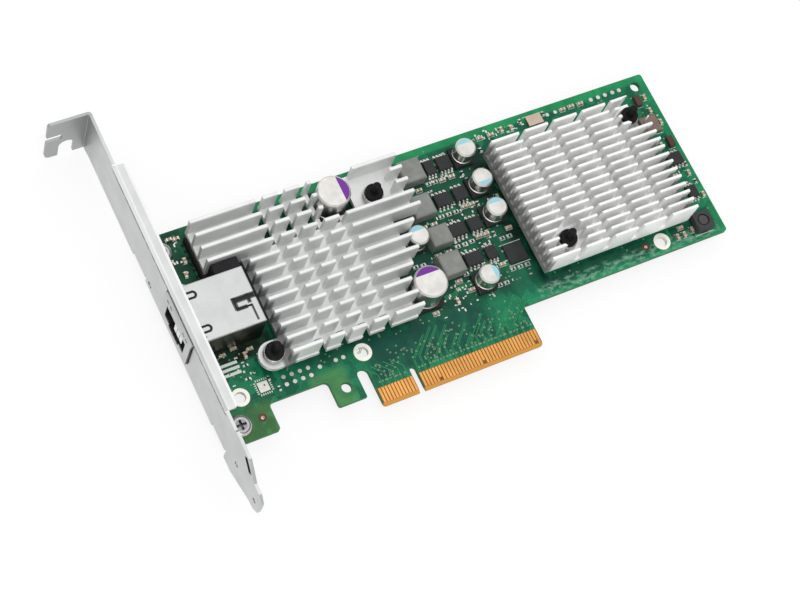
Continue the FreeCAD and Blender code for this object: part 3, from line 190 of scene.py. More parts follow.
class Paint:
    """A material in the making: its node tree and its main shader."""

    def __init__(self, name: str) -> None:
        """Start an empty material.

        Args:
            name: The material's name.
        """
        self.material = bpy.data.materials.new(name)
        self.material.use_nodes = True
        self.tree = self.material.node_tree
        self.tree.nodes.clear()
        self.output = self.tree.nodes.new("ShaderNodeOutputMaterial")
        self.shader = self.tree.nodes.new("ShaderNodeBsdfPrincipled")
        self.tree.links.new(self.shader.outputs[0], self.output.inputs[0])

    def node(self, kind: str, settings: dict[str, Any], inputs: dict[Any, Value]) -> bpy.types.Node:
        """Add a node.

        Args:
            kind: The node's type, without its "ShaderNode" start.
            settings: Settings of the node, which are set first.
            inputs: Values or links of its sockets, by name or number.

        Returns:
            The new node.
        """
        node = self.tree.nodes.new("ShaderNode" + kind)
        for key, value in settings.items():
            setattr(node, key, value)
        for key, value in inputs.items():
            self.feed(node.inputs[key], value)
        return node

    def feed(self, socket: bpy.types.NodeSocket, value: Value) -> None:
        """Link or set one socket.

        Args:
            socket: The socket.
            value: A Sock to link, or a number, vector or colour to set.
        """
        if isinstance(value, Sock):
            self.tree.links.new(value.socket, socket)
        elif socket.type == "RGBA" and len(value) == 3:
            socket.default_value = (*value, 1)
        else:
            socket.default_value = value

    def set(self, **values: Value) -> None:
        """Set or link sockets of the main shader: Base_Color stands for Base Color."""
        for key, value in values.items():
            self.feed(self.shader.inputs[key.replace("_", " ")], value)

    def out(self, node: bpy.types.Node, name: Union[str, int] = 0) -> Sock:
        """One of a node's results."""
        return Sock(self.tree, node.outputs[name])

    def where(self, stretch: Place = (1, 1, 1)) -> Sock:
        """Object coordinates in metres, stretched along each axis."""
        coords = self.out(self.node("TexCoord", {}, {}), "Object")
        return self.out(self.node("Mapping", {}, {"Vector": coords, "Scale": stretch}))

    def axes(self) -> tuple[Sock, Sock, Sock]:
        """The three object coordinates, in metres."""
        split = self.node("SeparateXYZ", {}, {"Vector": self.where()})
        return self.out(split, 0), self.out(split, 1), self.out(split, 2)

    def facing(self) -> Sock:
        """How far a face looks along Z: 1 up, -1 down, 0 for a side."""
        normal = self.out(self.node("NewGeometry", {}, {}), "Normal")
        return self.out(self.node("SeparateXYZ", {}, {"Vector": normal}), 2)

    def noise(self, size: float, stretch: Place = (1, 1, 1), detail: float = 3) -> Sock:
        """Noise with blotches of about that size.

        Args:
            size: Blotch size in millimetres.
            stretch: Stretch along each axis.
            detail: How many finer layers it has.

        Returns:
            A value round 0.5.
        """
        inputs = {"Vector": self.where(stretch), "Scale": 1 / (size * MM), "Detail": detail}
        return self.out(self.node("TexNoise", {}, inputs), 0)

    def spread(self, value: Sock, low: float, high: float, to_low: float, to_high: float) -> Sock:
        """Move a value from one range to another, kept inside it."""
        inputs = {"Value": value, "From Min": low, "From Max": high, "To Min": to_low, "To Max": to_high}
        return self.out(self.node("MapRange", {}, inputs))

    def vary(self, noise: Sock, low: float, high: float) -> Sock:
        """Let noise vary a value between two limits."""
        return self.spread(noise, 0.3, 0.7, low, high)

    def blend(self, share: Value, first: Value, second: Value) -> Sock:
        """Mix two colours.

        Args:
            share: Share of the second colour.
            first: First colour.
            second: Second colour.

        Returns:
            The mixed colour.
        """
        node = self.node("Mix", {"data_type": "RGBA"}, {})
        for place, value in ((0, share), (6, first), (7, second)):
            self.feed(node.inputs[place], value)
        return self.out(node, 2)

    def mottle(self, colour: Colour, dim: float, noise: Sock, low: float = 0.35) -> Sock:
        """Mix a colour with a darker shade of itself.

        Args:
            colour: The colour.
            dim: Brightness of the darker shade, as a share of the colour's.
            noise: What the mix follows, round 0.5.
            low: The noise at the darkest spots; the lightest ones are as far above 0.5.

        Returns:
            The mottled colour.
        """
        return self.blend(self.spread(noise, low, 1 - low, 0, 1), scaled(colour, dim), colour)

    def band(self, value: Sock, low: float, high: float, soft: float = 0.2) -> Sock:
        """1 where a coordinate lies between two values.

        Args:
            value: The coordinate, in metres.
            low: Lower limit, in millimetres.
            high: Upper limit, in millimetres.
            soft: How far it fades outside them.

        Returns:
            The share, 0 to 1.
        """
        rise = self.spread(value, (low - soft) * MM, low * MM, 0, 1)
        return rise * self.spread(value, high * MM, (high + soft) * MM, 1, 0)

    def zone(self, low: Spot, high: Spot, soft: float) -> Sock:
        """1 inside an upright rectangle of the board's plane, from corner to corner."""
        x, y, _ = self.axes()
        return self.band(x, low[0], high[0], soft) * self.band(y, low[1], high[1], soft)

    def away(self, spot: Spot) -> Sock:
        """Distance from a point of the board's plane, in metres."""
        inputs = {0: self.where((1, 1, 0)), 1: (spot[0] * MM, spot[1] * MM, 0.0)}
        return self.out(self.node("VectorMath", {"operation": "DISTANCE"}, inputs), "Value")

    def near(self, spots: Iterable[Spot], radius: float, soft: float = 0.06) -> Sock:
        """1 close to any of the points of the board's plane.

        Args:
            spots: The points, in millimetres, which lie further apart than the radius.
            radius: How close, in millimetres.
            soft: How far it fades beyond that.

        Returns:
            The share, 0 to 1.
        """
        shares = [self.spread(self.away(spot), radius * MM, (radius + soft) * MM, 1, 0) for spot in spots]
        total = shares[0]
        for share in shares[1:]:
            total = total + share
        return total

    def bumps(self, height: Sock, depth: float) -> None:
        """Raise the surface by a height, over that depth in millimetres."""
        self.set(Normal=self.out(self.node("Bump", {}, {"Height": height, "Distance": depth * MM})))


# ---- finishes ---------------------------------------------------------------------


@dataclass(frozen=True)
class Finish:
    """What every finish has.

    Attributes:
        name: The material's name.
        colour: Its main colour in linear light.
    """

    name: str
    colour: Colour

    def paint(self) -> bpy.types.Material:
        """Build the material.

        Returns:
            The new material.
        """
        job = Paint(self.name)
        self.lay(job)
        return job.material

    def lay(self, job: Paint) -> None:
        """Lay the finish on a material in the making."""
        raise NotImplementedError


@dataclass(frozen=True)
class Metal(Finish):
    """A satin or polished metal.

    Attributes:
        rough: Middle roughness.
        grain: Size of the grain in millimetres.
        depth: Depth of the grain in millimetres.
        stain: Share of the brightness that the darkest blotches take away.
        metal: Share of metal, less where an oxide skin scatters light.
    """

    rough: float
    grain: float
    depth: float = 0.004
    stain: float = 0.22
    metal: float = 1.0

    def lay(self, job: Paint) -> None:
        """Lay the finish.

        Args:
            job: The material in the making.
        """
        grain = job.noise(self.grain)
        blotch = job.noise(6, detail=2)
        base = job.mottle(self.colour, 1 - self.stain, blotch * 0.6 + grain * 0.4, 0.38)
        job.set(Base_Color=base, Metallic=self.metal,
                Roughness=job.vary(grain, self.rough - 0.07, self.rough + 0.07))
        job.bumps(grain, self.depth)


@dataclass(frozen=True)
class Moulded(Finish):
    """Moulded plastic, pressed powder, ceramic or ink.

    Attributes:
        rough: Middle roughness.
        grain: Size of the surface texture in millimetres.
        depth: Depth of the texture in millimetres.
        fleck: How much lighter the flecks are.
        shine: Strength of its reflection.
        dust: Size of the flecks in millimetres.
    """

    rough: float
    grain: float = 0.15
    depth: float = 0.006
    fleck: float = 0.25
    shine: float = 0.15
    dust: float = 2.5

    def lay(self, job: Paint) -> None:
        """Lay the finish.

        Args:
            job: The material in the making.
        """
        grain = job.noise(self.grain)
        dust = job.noise(self.dust)
        light = tuple(part + (part + 0.01) * self.fleck for part in self.colour)
        share = job.spread(grain * 0.5 + dust * 0.5, 0.4, 0.65, 0, 1)
        job.set(Base_Color=job.blend(share, self.colour, light),
                Roughness=job.vary(dust, self.rough - 0.06, self.rough + 0.08),
                Specular_IOR_Level=self.shine)
        job.bumps(grain, self.depth)


@dataclass(frozen=True)
class Patch:
    """A stretch of the solder mask with a colour of its own; some are painted shadows and painted shade.

    Attributes:
        low: Lower left corner, in millimetres.
        high: Upper right corner, in millimetres.
        soft: How far it fades outside them, in millimetres.
        cover: How strongly it covers the mask, 0 to 1.
        colour: Its colour in linear light.
    """

    low: Spot
    high: Spot
    soft: float
    cover: float
    colour: Colour


@dataclass(frozen=True)
class Mask(Finish):
    """Green solder mask over copper, with bare glass fibre on the cut edges.

    Attributes:
        deep: Colour over bare laminate.
        fibre: Colour of the cut edge.
        plated: Colour of the wall of a tooling hole.
        plated_small: Colour of the wall of a small hole.
        fingers: Span of the contacts along X, in millimetres.
        finger_rise: Span of the contacts along Y.
        between: Colour between the contacts.
        below: Colours of the bare strip below them, on the face and on the edge.
        haze: Colour of the hazy strip below the right heatsink.
        haze_strip: Corners of that strip.
        patches: Stretches with a colour of their own, some of them painted shadows and painted shade.
    """

    deep: Colour
    fibre: Colour
    plated: Colour = shade(238, 234, 224)
    plated_small: Colour = shade(250, 236, 224)
    fingers: Spot = (-12.3, 39.3)
    finger_rise: Spot = (0.9, 5.4)
    between: Colour = shade(118, 84, 40)
    below: tuple[Colour, Colour] = (shade(196, 138, 64), shade(186, 130, 60))
    haze: Colour = shade(140, 178, 156)
    haze_strip: tuple[Spot, Spot] = ((46, 13), (108, 16.2))
    patches: tuple[Patch, ...] = (
        # the middle of the board, and a painted shadow in the strip beside the right heatsink
        Patch((-26, 20), (46, 63), 4, 0.8, shade(18, 56, 46)),
        Patch((45.4, 18), (50, 64), 0.8, 0.85, shade(9, 26, 22)),
        # along the upper, lower and right edges
        Patch((-44, 66.9), (111, 70), 0.8, 0.6, shade(36, 152, 88)),
        Patch((41, 12), (111, 13.6), 0.6, 0.6, shade(26, 150, 98)),
        Patch((108.6, 12), (111, 70), 0.8, 0.5, shade(36, 150, 92)),
        # painted shade beside the bracket, and the jack's painted shadow below it
        Patch((-57, 50), (-43, 68), 2, 0.8, shade(16, 50, 36)),
        Patch((-53, 26.8), (-34, 31.5), 1.0, 0.95, shade(15, 13, 7)),
        # a painted shadow below the right heatsink, a darker stretch below the left one, and a lighter one
        # beside the step of the lower edge
        Patch((46, 15.9), (101, 19), 0.6, 0.75, shade(8, 48, 40)),
        Patch((-10, 8.5), (27, 18), 2, 0.85, shade(18, 66, 58)),
        Patch((40, 13), (47, 26), 2, 0.3, shade(40, 130, 96)),
        # the two plain tabs
        Patch((-60, 2), (-42, 12), 3, 0.5, shade(92, 126, 60)),
        Patch((-28, 2), (-19, 14), 2, 0.5, shade(96, 150, 82)))

    def lay(self, job: Paint) -> None:
        """Lay the finish.

        Args:
            job: The material in the making.
        """
        flat = (1, 1, 0)
        cells = job.node("TexVoronoi", {"distance": "MANHATTAN"},
                         {"Vector": job.where(flat), "Scale": 230.0, "Randomness": 0.8})
        fine = job.node("TexVoronoi", {"distance": "CHEBYCHEV"},
                        {"Vector": job.where(flat), "Scale": 900.0, "Randomness": 0.35})
        tint = job.out(job.node("SeparateXYZ", {}, {"Vector": job.out(cells, "Color")}))
        speck = job.spread(job.out(fine, "Distance"), 0.1, 0.3, 1, 0)
        share = job.spread(tint * 0.75 + speck * 0.3 + job.noise(9) * 0.3, 0.3, 0.95, 0, 1)
        below = job.zone((self.fingers[0], -1), (self.fingers[1], self.finger_rise[0]), 0.1)
        face = self.face(job, job.blend(share, self.deep, self.colour))
        face = job.blend(below, face, self.below[0])
        edge = job.mottle(self.fibre, 0.6, job.noise(0.3, (1, 1, 4)))
        edge = job.blend(below, edge, self.below[1])
        edge = job.blend(job.near(ring_spots(False), 1.7), edge, self.plated)
        edge = job.blend(job.near(ring_spots(True), 0.6), edge, self.plated_small)
        side = abs(job.facing()) < 0.5
        job.set(Base_Color=job.blend(side, face, edge),
                Roughness=job.spread(side + job.noise(4) * 0.3, 0.1, 1, 0.34, 0.6), Specular_IOR_Level=0.15)
        job.bumps(speck + share, 0.012)

    def face(self, job: Paint, base: Sock) -> Sock:
        """Colour the faces: the patches, some of them painted shadows and painted shade, the hazy strip and
        between the contacts.

        Args:
            job: The material in the making.
            base: The even mask's colour.

        Returns:
            The shaded colour.
        """
        patchy = job.spread(job.noise(5), 0.3, 0.6, 0.55, 1)
        for patch in self.patches:
            base = job.blend(job.zone(patch.low, patch.high, patch.soft) * patchy * patch.cover, base,
                             patch.colour)
        haze = job.spread(job.noise(2.2, (1, 1.8, 1), 4), 0.44, 0.66, 0, 0.6)
        base = job.blend(haze * job.zone(*self.haze_strip, 0.8), base, self.haze)
        corners = zip(self.fingers, self.finger_rise)
        return job.blend(job.zone(*corners, 0.1), base, self.between)


@dataclass(frozen=True)
class Clear(Finish):
    """Milky clear plastic of a light pipe."""

    def lay(self, job: Paint) -> None:
        """Lay the finish.

        Args:
            job: The material in the making.
        """
        haze = job.noise(0.5)
        job.set(Base_Color=job.blend(haze, self.colour, scaled(self.colour, 1.25)),
                Roughness=job.vary(haze, 0.1, 0.25), Transmission_Weight=0.35, IOR=1.49)


@dataclass(frozen=True)
class Can(Finish):
    """A drawn can, with a satin top and a brighter wall.

    Attributes:
        rough: Middle roughness.
    """

    rough: float = 0.36

    def lay(self, job: Paint) -> None:
        """Lay the finish.

        Args:
            job: The material in the making.
        """
        grain = job.noise(0.25)
        wall = abs(job.facing()) < 0.6
        rough = job.spread(wall + grain * 0.2, 0, 1.1, self.rough + 0.1, self.rough - 0.08)
        job.set(Base_Color=job.mottle(self.colour, 0.84, job.noise(3)), Metallic=1.0, Roughness=rough)
        job.bumps(grain, 0.003)


@dataclass(frozen=True)
class Rings(Finish):
    """Tinned rings, with bare copper round the small holes.

    Attributes:
        bare: Colour of the copper ones.
        reach: How far the copper colour reaches from a small hole's middle.
    """

    bare: Colour
    reach: float = 1.6

    def lay(self, job: Paint) -> None:
        """Lay the finish.

        Args:
            job: The material in the making.
        """
        grain = job.noise(0.4)
        tinned = job.mottle(self.colour, 0.86, grain)
        job.set(Base_Color=job.blend(job.near(ring_spots(True), self.reach), tinned, self.bare),
                Metallic=0.25, Roughness=job.vary(grain, 0.38, 0.5))
        job.bumps(grain, 0.004)


@dataclass(frozen=True)
class Sheet(Finish):
    """Plated steel sheet of the bracket, with painted highlights and painted shade.

    Attributes:
        bright: Colour of the painted highlight along the bend and on the flange's edge.
        painted_shade: Colour of the painted shade near the tab.
        line: Colour of the painted shade in the thin line beside the bend; a darker shade of it is painted
            in the groove.
        face: Just inside the plate's outer face, along X, in millimetres.
        skin: Reach of the painted highlight along X.
        bend: Span of the bend along Y.
        bend_rise: Span of its painted highlight along Z.
        fade: Where the painted highlight grows, along Y.
        line_rise: Span of that line's painted shade along Z.
        lip: Span of the painted highlight on the flange's edge, along X.
        groove: Upper end of the pressed groove, along Y and Z.
        groove_way: Direction to its lower end, along Y and Z.
        groove_run: Where its painted shade lies, from its upper end.
        groove_half: Half of the width of its painted shade.
        tab: Where the painted shade near the tab grows, along Y.
    """

    bright: Colour
    painted_shade: Colour
    line: Colour
    face: float = -57.6
    skin: Spot = (-58.2, -57.2)
    bend: Spot = (10, 86.4)
    bend_rise: Spot = (13.7, 16)
    fade: Spot = (32, 56)
    line_rise: Spot = (12.6, 13.4)
    lip: Spot = (-54.9, -54.3)
    groove: Spot = (-2.9, 13.9)
    groove_way: Spot = (-0.771, -0.636)
    groove_run: Spot = (0.2, 4.8)
    groove_half: float = 1.0
    tab: Spot = (94, 103)

    def lay(self, job: Paint) -> None:
        """Lay the finish.

        Args:
            job: The material in the making.
        """
        x, y, z = job.axes()
        grain = job.noise(0.12, (1, 0.25, 1))
        base = job.mottle(self.colour, 0.9, job.noise(6, detail=2) * 0.6 + grain * 0.4, 0.38)
        # Painted highlight along the long bend, fading lower down, and on the flange's edge, with less
        # metal where it lies.
        along = job.band(y, *self.bend, 0.3)
        bend = job.band(z, *self.bend_rise) * job.band(x, *self.skin, 0.3) * along
        bend = bend * job.spread(y, self.fade[0] * MM, self.fade[1] * MM, 0.3, 1)
        bend = bend + job.band(x, *self.lip, 0.3) * along * 0.7
        base = job.blend(bend, base, self.bright)
        # Painted shade along the thin line beside the bend, broken up by noise.
        broken = job.spread(job.noise(1.5), 0.36, 0.5, 0.3, 0.85)
        bend_line_shade = job.band(z, *self.line_rise) * job.band(x, self.skin[0], self.face - 0.2, 0.05) * along
        base = job.blend(bend_line_shade * broken, base, self.line)
        # Painted shade in the pressed groove, on the outer face only.
        base = job.blend(self.pressed(job, y, z) * (x < self.face * MM), base, scaled(self.line, 0.35))
        # Painted shade, growing towards the tab and the corner of its bend.
        base = job.blend(job.spread(y, self.tab[0] * MM, self.tab[1] * MM, 0, 0.55), base, self.painted_shade)
        job.set(Base_Color=base, Metallic=job.spread(bend, 0, 1, 1, 0.6),
                Roughness=job.vary(grain, 0.36, 0.48))
        job.bumps(grain, 0.003)

    def pressed(self, job: Paint, y: Sock, z: Sock) -> Sock:
        """1 in the pressed groove, where its painted shade lies.

        Args:
            job: The material in the making.
            y: Object coordinate along Y, in metres.
            z: Object coordinate along Z, in metres.

        Returns:
            The share, 0 to 1.
        """
        up, out = y - self.groove[0] * MM, z - self.groove[1] * MM
        way_up, way_out = self.groove_way
        inside = abs(up * way_out - out * way_up) < self.groove_half * MM
        return inside * job.band(up * way_up + out * way_out, *self.groove_run)


@dataclass(frozen=True)
class Shield(Finish):
    """Tinned sheet of the jack, with dark punched dots and painted shade along its cuts, in its slots and
    on its side wall.

    Attributes:
        dark: Colour of the painted shade beside the cuts and in the slots, and of the dots.
        wall_shade: Colour of the painted shade on the lower side wall.
        cuts: Middles of the rounded ends of the two U cuts, in millimetres.
        cut_band: Inner and outer radius of the painted shade round a rounded end.
        leg: Distance of a cut's leg from its middle, and half of the leg's width.
        leg_run: Length of the legs.
        roof: Where the top starts, and where it is reached, along Z.
        wall: Edge of the side wall, along Y.
        wall_rise: Span of its painted shade, along Z.
        dots: Middles of the punched dots.
        slots: Corners of the latch window's slots and of the folded seam, which get painted shade.
    """

    dark: Colour
    wall_shade: Colour = shade(58, 54, 38)
    cuts: tuple[Spot, ...] = ((-52.21, 34.2), (-52.21, 44.6))
    cut_band: Spot = (0.5, 1.25)
    leg: Spot = (0.86, 0.36)
    leg_run: float = 2.8
    roof: Spot = (11.9, 12.0)
    wall: float = 30.95
    wall_rise: Spot = (-2, 11.3)
    dots: tuple[Spot, ...] = ((-54.0, 47.0), (-53.8, 32.0))
    slots: tuple[tuple[Spot, Spot], ...] = (
        ((-43.0, 38.2), (-36.2, 39.9)), ((-43.2, 36.2), (-42.0, 39.9)), ((-42.8, 35.9), (-39.6, 36.9)),
        ((-39.0, 37.2), (-38.0, 39.9)), ((-38.55, 31.8), (-38.05, 36.6)))

    def lay(self, job: Paint) -> None:
        """Lay the finish.

        Args:
            job: The material in the making.
        """
        x, y, z = job.axes()
        grain = job.noise(0.4, (0.3, 1, 1))
        base = job.mottle(self.colour, 0.93, job.noise(5))
        top = job.spread(z, self.roof[0] * MM, self.roof[1] * MM, 0, 1)
        # Painted shade along the U cuts and in the slots; the punched dots are darkened too.
        for cut in self.cuts:
            base = job.blend(self.cut_mark(job, cut, x, y) * top * 0.85, base, self.dark)
        base = job.blend(job.near(self.dots, 0.32, 0.1) * top * 0.8, base, self.dark)
        for low, high in self.slots:
            base = job.blend(job.zone(low, high, 0.15) * top * 0.9, base, self.dark)
        # Painted shade on the lower side wall.
        wall = job.band(z, *self.wall_rise, 0.4) * (y < self.wall * MM)
        base = job.blend(wall * job.spread(job.noise(4), 0.3, 0.6, 0.7, 0.92), base, self.wall_shade)
        job.set(Base_Color=base, Metallic=1.0, Roughness=job.vary(grain, 0.32, 0.42))
        job.bumps(grain, 0.002)

    def cut_mark(self, job: Paint, cut: Spot, x: Sock, y: Sock) -> Sock:
        """1 where painted shade lies along one U cut.

        Args:
            job: The material in the making.
            cut: Middle of its rounded end, in millimetres.
            x: Object coordinate along X, in metres.
            y: Object coordinate along Y, in metres.

        Returns:
            The share, 0 to 1.
        """
        inner, outer = self.cut_band
        round_end = job.spread(job.away(cut), outer * MM, (outer + 0.05) * MM, 1, 0)
        round_end = round_end * (job.away(cut) > inner * MM)
        legs = abs(abs(y - cut[1] * MM) - self.leg[0] * MM) < self.leg[1] * MM
        before = x < cut[0] * MM
        start = x > (cut[0] - self.leg_run) * MM
        return round_end * (1 - before) + legs * before * start


@dataclass(frozen=True)
class Finned(Finish):
    """Satin extrusion of a heatsink, with painted shade between the ends of its fins.

    Attributes:
        metal: Share of metal, less where an oxide skin scatters light.
        ends: Corners of the places where painted shade darkens the gaps between the fins.
        painted_shade: Height below which the painted shade is strongest, and above which there is none, in
            millimetres.
    """

    metal: float
    ends: tuple[tuple[Spot, Spot], ...]
    painted_shade: Spot = (8.7, 11.2)

    def lay(self, job: Paint) -> None:
        """Lay the finish.

        Args:
            job: The material in the making.
        """
        z = job.axes()[2]
        grain = job.noise(0.25, (0.2, 1, 1))
        base = job.mottle(self.colour, 0.93, job.noise(6, detail=2), 0.38)
        # Painted shade in the gaps at the ends of the fins, below their tops.
        below = job.spread(z, self.painted_shade[0] * MM, self.painted_shade[1] * MM, 0.8, 0)
        for low, high in self.ends:
            base = job.blend(job.zone(low, high, 0.8) * below, base, scaled(self.colour, 0.13))
        job.set(Base_Color=base, Metallic=self.metal, Roughness=job.vary(grain, 0.42, 0.54))
        job.bumps(grain, 0.006)


@dataclass(frozen=True)
class Screw(Finish):
    """Plated pan head, with painted shade over its middle, in a ring inside its rim and in its cross.

    Attributes:
        dark: Colour of the painted shade in the ring and the cross.
        spots: Middles of the heads, in millimetres.
        ring: Inner and outer radius of the ring of painted shade.
        middle: Radius of the middle, which painted shade dims most.
        cross: Height below which the cross has painted shade, and where it starts to.
    """

    dark: Colour
    spots: tuple[Spot, ...] = ((-52.0, 8.9), (-52.0, 63.0))
    ring: Spot = (2.15, 2.5)
    middle: float = 1.6
    cross: Spot = (1.35, 1.55)

    def lay(self, job: Paint) -> None:
        """Lay the finish.

        Args:
            job: The material in the making.
        """
        z = job.axes()[2]
        grain = job.noise(0.5)
        # Painted shade: all within the ring dimmed, the middle more, a dark ring just inside the rim and a
        # dark cross in the recess.
        within = job.near(self.spots, self.ring[0])
        middle = job.near(self.spots, self.middle)
        dim = scaled(self.colour, 0.3)
        base = job.blend(within * 0.45, self.colour, dim)
        base = job.blend(middle * 0.6 + job.spread(grain, 0.4, 0.6, 0, 0.15), base, dim)
        base = job.blend((job.near(self.spots, self.ring[1]) - within) * 0.85, base, self.dark)
        cross = middle * job.spread(z, self.cross[0] * MM, self.cross[1] * MM, 1, 0)
        base = job.blend(cross * 0.8, base, self.dark)
        job.set(Base_Color=base, Metallic=0.9, Roughness=job.vary(grain, 0.24, 0.34))
        job.bumps(grain, 0.004)


FINISHES: dict[str, Finish] = {
    "board": Mask("solder_mask", Tone.GREEN.value, Tone.DEEP_GREEN.value, Tone.FIBRE.value),
    "gold": Metal("gold_plate", Tone.GOLD.value, 0.32, 0.25, stain=0.264),
    "tin": Metal("tinned_copper", Tone.TIN.value, 0.38, 0.2, stain=0.264),
    # The bracket's later colours are a painted highlight, and painted shade near the tab and beside the
    # bend.
    "bracket": Sheet("bracket_steel", Tone.STEEL.value, shade(232, 232, 232), shade(138, 139, 139),
                     shade(104, 104, 104)),
    # The screw's second colour is painted shade.
    "screw": Screw("screw_steel", shade(206, 206, 206), shade(60, 60, 62)),
    # The shield's second colour is painted shade, also laid on its dots.
    "shield": Shield("shield_tin", shade(194, 196, 195), shade(58, 58, 58)),
    "housing": Moulded("jack_plastic", Tone.BLACK.value, 0.42),
    "light_pipe": Clear("light_pipe", shade(120, 126, 116)),
    "moulding": Moulded("magnetics_plastic", shade(34, 33, 35), 0.5, 0.2, shine=0.08),
    # The corners given to each heatsink are where painted shade darkens the gaps at the fins' ends.
    "heatsink": Finned("heatsink_aluminium", shade(228, 229, 228), 0.45,
                       (((-34.5, 18), (-31.6, 51.5)),)),
    "heatsink_fine": Finned("fine_heatsink_aluminium", shade(248, 248, 247), 0.3,
                            (((47, 18), (49.8, 62)), ((97.2, 20), (100, 56)))),
    "ring": Rings("tinned_ring", shade(252, 248, 238), shade(80, 48, 30)),
    "pad": Moulded("thermal_pad", shade(150, 158, 168), 0.7),
    "chip": Moulded("chip_moulding", Tone.CHIP.value, 0.42, 0.08),
    "push_pin": Moulded("push_pin_plastic", shade(22, 22, 23), 0.5, 0.3, shine=0.1),
    "spring": Metal("spring_wire", shade(190, 190, 188), 0.28, 0.2),
    "capacitor_can": Can("capacitor_can", shade(224, 222, 217)),
    "capacitor_base": Moulded("capacitor_foot", Tone.BLACK.value, 0.4),
    "inductor": Moulded("pressed_powder", shade(120, 122, 118), 0.6, 0.12, 0.02, 0.35),
    "ferrite": Moulded("ferrite", shade(58, 58, 60), 0.5, 0.2, 0.015),
    "core": Moulded("ferrite_core", shade(70, 71, 70), 0.5, 0.2, 0.01),
    "crystal_can": Metal("crystal_lid", shade(205, 186, 168), 0.34, 0.3),
    "tantalum": Moulded("tantalum_case", shade(74, 58, 50), 0.45),
    "oscillator": Moulded("oscillator_case", shade(116, 98, 90), 0.4),
    "ceramic": Moulded("ceramic_body", shade(166, 138, 104), 0.4),
    "resistor": Moulded("resistor_body", shade(40, 40, 44), 0.3),
    "print": Moulded("white_print", Tone.PRINT.value, 0.6, 0.3, 0.004, 0.05),
    "trace": Moulded("covered_trace", shade(42, 134, 84), 0.3, 1.0, 0.004, 0.15),
    "via": Metal("via_ring", shade(150, 178, 140), 0.45, 0.2, metal=0.4),
    "bright": Metal("bright_tin", shade(236, 236, 234), 0.3, 0.3, stain=0.11, metal=0.5),
    "purple": Moulded("purple_ink", shade(108, 52, 142), 0.4, 0.5, 0.002, 0.12),
    "blue": Moulded("blue_ink", shade(146, 196, 212), 0.4, 0.5, 0.002, 0.12),
    # Painted shade for the vias' holes.
    "hole": Moulded("painted_hole_shade", shade(14, 14, 14), 0.7),
}


class Palette:
    """Builds each finish once, and dresses nodes and pieces with it."""

    def __init__(self) -> None:
        """Start with no material built."""
        self.made: dict[str, bpy.types.Material] = {}

    def get(self, name: str) -> bpy.types.Material:
        """The material of a finish.

        Args:
            name: The finish's name in FINISHES.

        Returns:
            Its material, built on the first call.
        """
        if name not in self.made:
            self.made[name] = FINISHES[name].paint()
        return self.made[name]

    def dress(self, node: str, finish: str) -> None:
        """Give a CAD node one material.

        Args:
            node: The node's name.
            finish: The finish's name in FINISHES.
        """
        mesh = frame["nodes"][node].data
        mesh.materials.clear()
        mesh.materials.append(self.get(finish))


PALETTE = Palette()


# ---- mesh helpers -----------------------------------------------------------------


def at(x: float, y: float, z: float) -> Vector:
    """A point given in millimetres, in metres."""
    return Vector((x, y, z)) * MM


def block(shape: bmesh.types.BMesh, low: Place, high: Place, turn: float = 0.0) -> None:
    """Add a box.

    Args:
        shape: The mesh to add it to.
        low: Its lowest corner, in millimetres, before it is turned.
        high: Its highest corner.
        turn: Turn about Z through its middle, in radians.
    """
    middle = (at(*low) + at(*high)) / 2
    size = [(b - a) * MM for a, b in zip(low, high)]
    place = Matrix.Translation(middle) @ Matrix.Rotation(turn, 4, "Z") @ Matrix.Diagonal((*size, 1))
    bmesh.ops.create_cube(shape, size=1, matrix=place)


def plate(shape: bmesh.types.BMesh, spot: Spot, half: Spot, high: float) -> None:
    """Add a thin plate that lies on the board.

    Args:
        shape: The mesh to add it to.
        spot: Its middle, in millimetres.
        half: Half of its size along X and Y.
        high: Its height.
    """
    (x, y), (long, wide) = spot, half
    block(shape, (x - long, y - wide, 0), (x + long, y + wide, high))


def disc(shape: bmesh.types.BMesh, x: float, y: float, z: float, radius: float, high: float,
         sides: int, top: float = 1.0) -> None:
    """Add a disc or a short cone that stands on z.

    Args:
        shape: The mesh to add it to.
        x: Middle, in millimetres.
        y: Middle, in millimetres.
        z: Foot, in millimetres.
        radius: Radius at the foot, in millimetres.
        high: Height, in millimetres.
        sides: How many sides it has.
        top: Top radius as a share of the foot's.
    """
    place = Matrix.Translation(at(x, y, z + high / 2))
    bmesh.ops.create_cone(shape, cap_ends=True, segments=sides, radius1=radius * MM,
                          radius2=radius * top * MM, depth=high * MM, matrix=place)


def made(shape: bmesh.types.BMesh, name: str) -> bpy.types.Mesh:
    """Turn a bmesh into a mesh, and free it.

    Args:
        shape: The bmesh.
        name: The mesh's name.

    Returns:
        The new mesh.
    """
    mesh = bpy.data.meshes.new(name)
    shape.to_mesh(mesh)
    shape.free()
    return mesh


def added(name: str, data: bpy.types.ID) -> bpy.types.Object:
    """Add an object to the scene.

    Args:
        name: Its name.
        data: Its mesh, lamp or camera.

    Returns:
        The new object.
    """
    obj = bpy.data.objects.new(name, data)
    bpy.context.scene.collection.objects.link(obj)
    return obj


def piece(name: str, shape: bmesh.types.BMesh, finish: str) -> None:
    """Turn a mesh into a piece of the card.

    Args:
        name: The piece's name.
        shape: Its mesh, in metres, in the row frame.
        finish: The finish it wears.
    """
    bmesh.ops.recalc_face_normals(shape, faces=shape.faces)
    mesh = made(shape, name)
    mesh.materials.append(PALETTE.get(finish))
    obj = added(name, mesh)
    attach(obj, "root")
    log.info("piece %s: %d faces", name, len(mesh.polygons))


def mm_box(node: str) -> Box:
    """A CAD node's box, in millimetres."""
    low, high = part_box(node)
    return tuple(v / MM for v in low), tuple(v / MM for v in high)


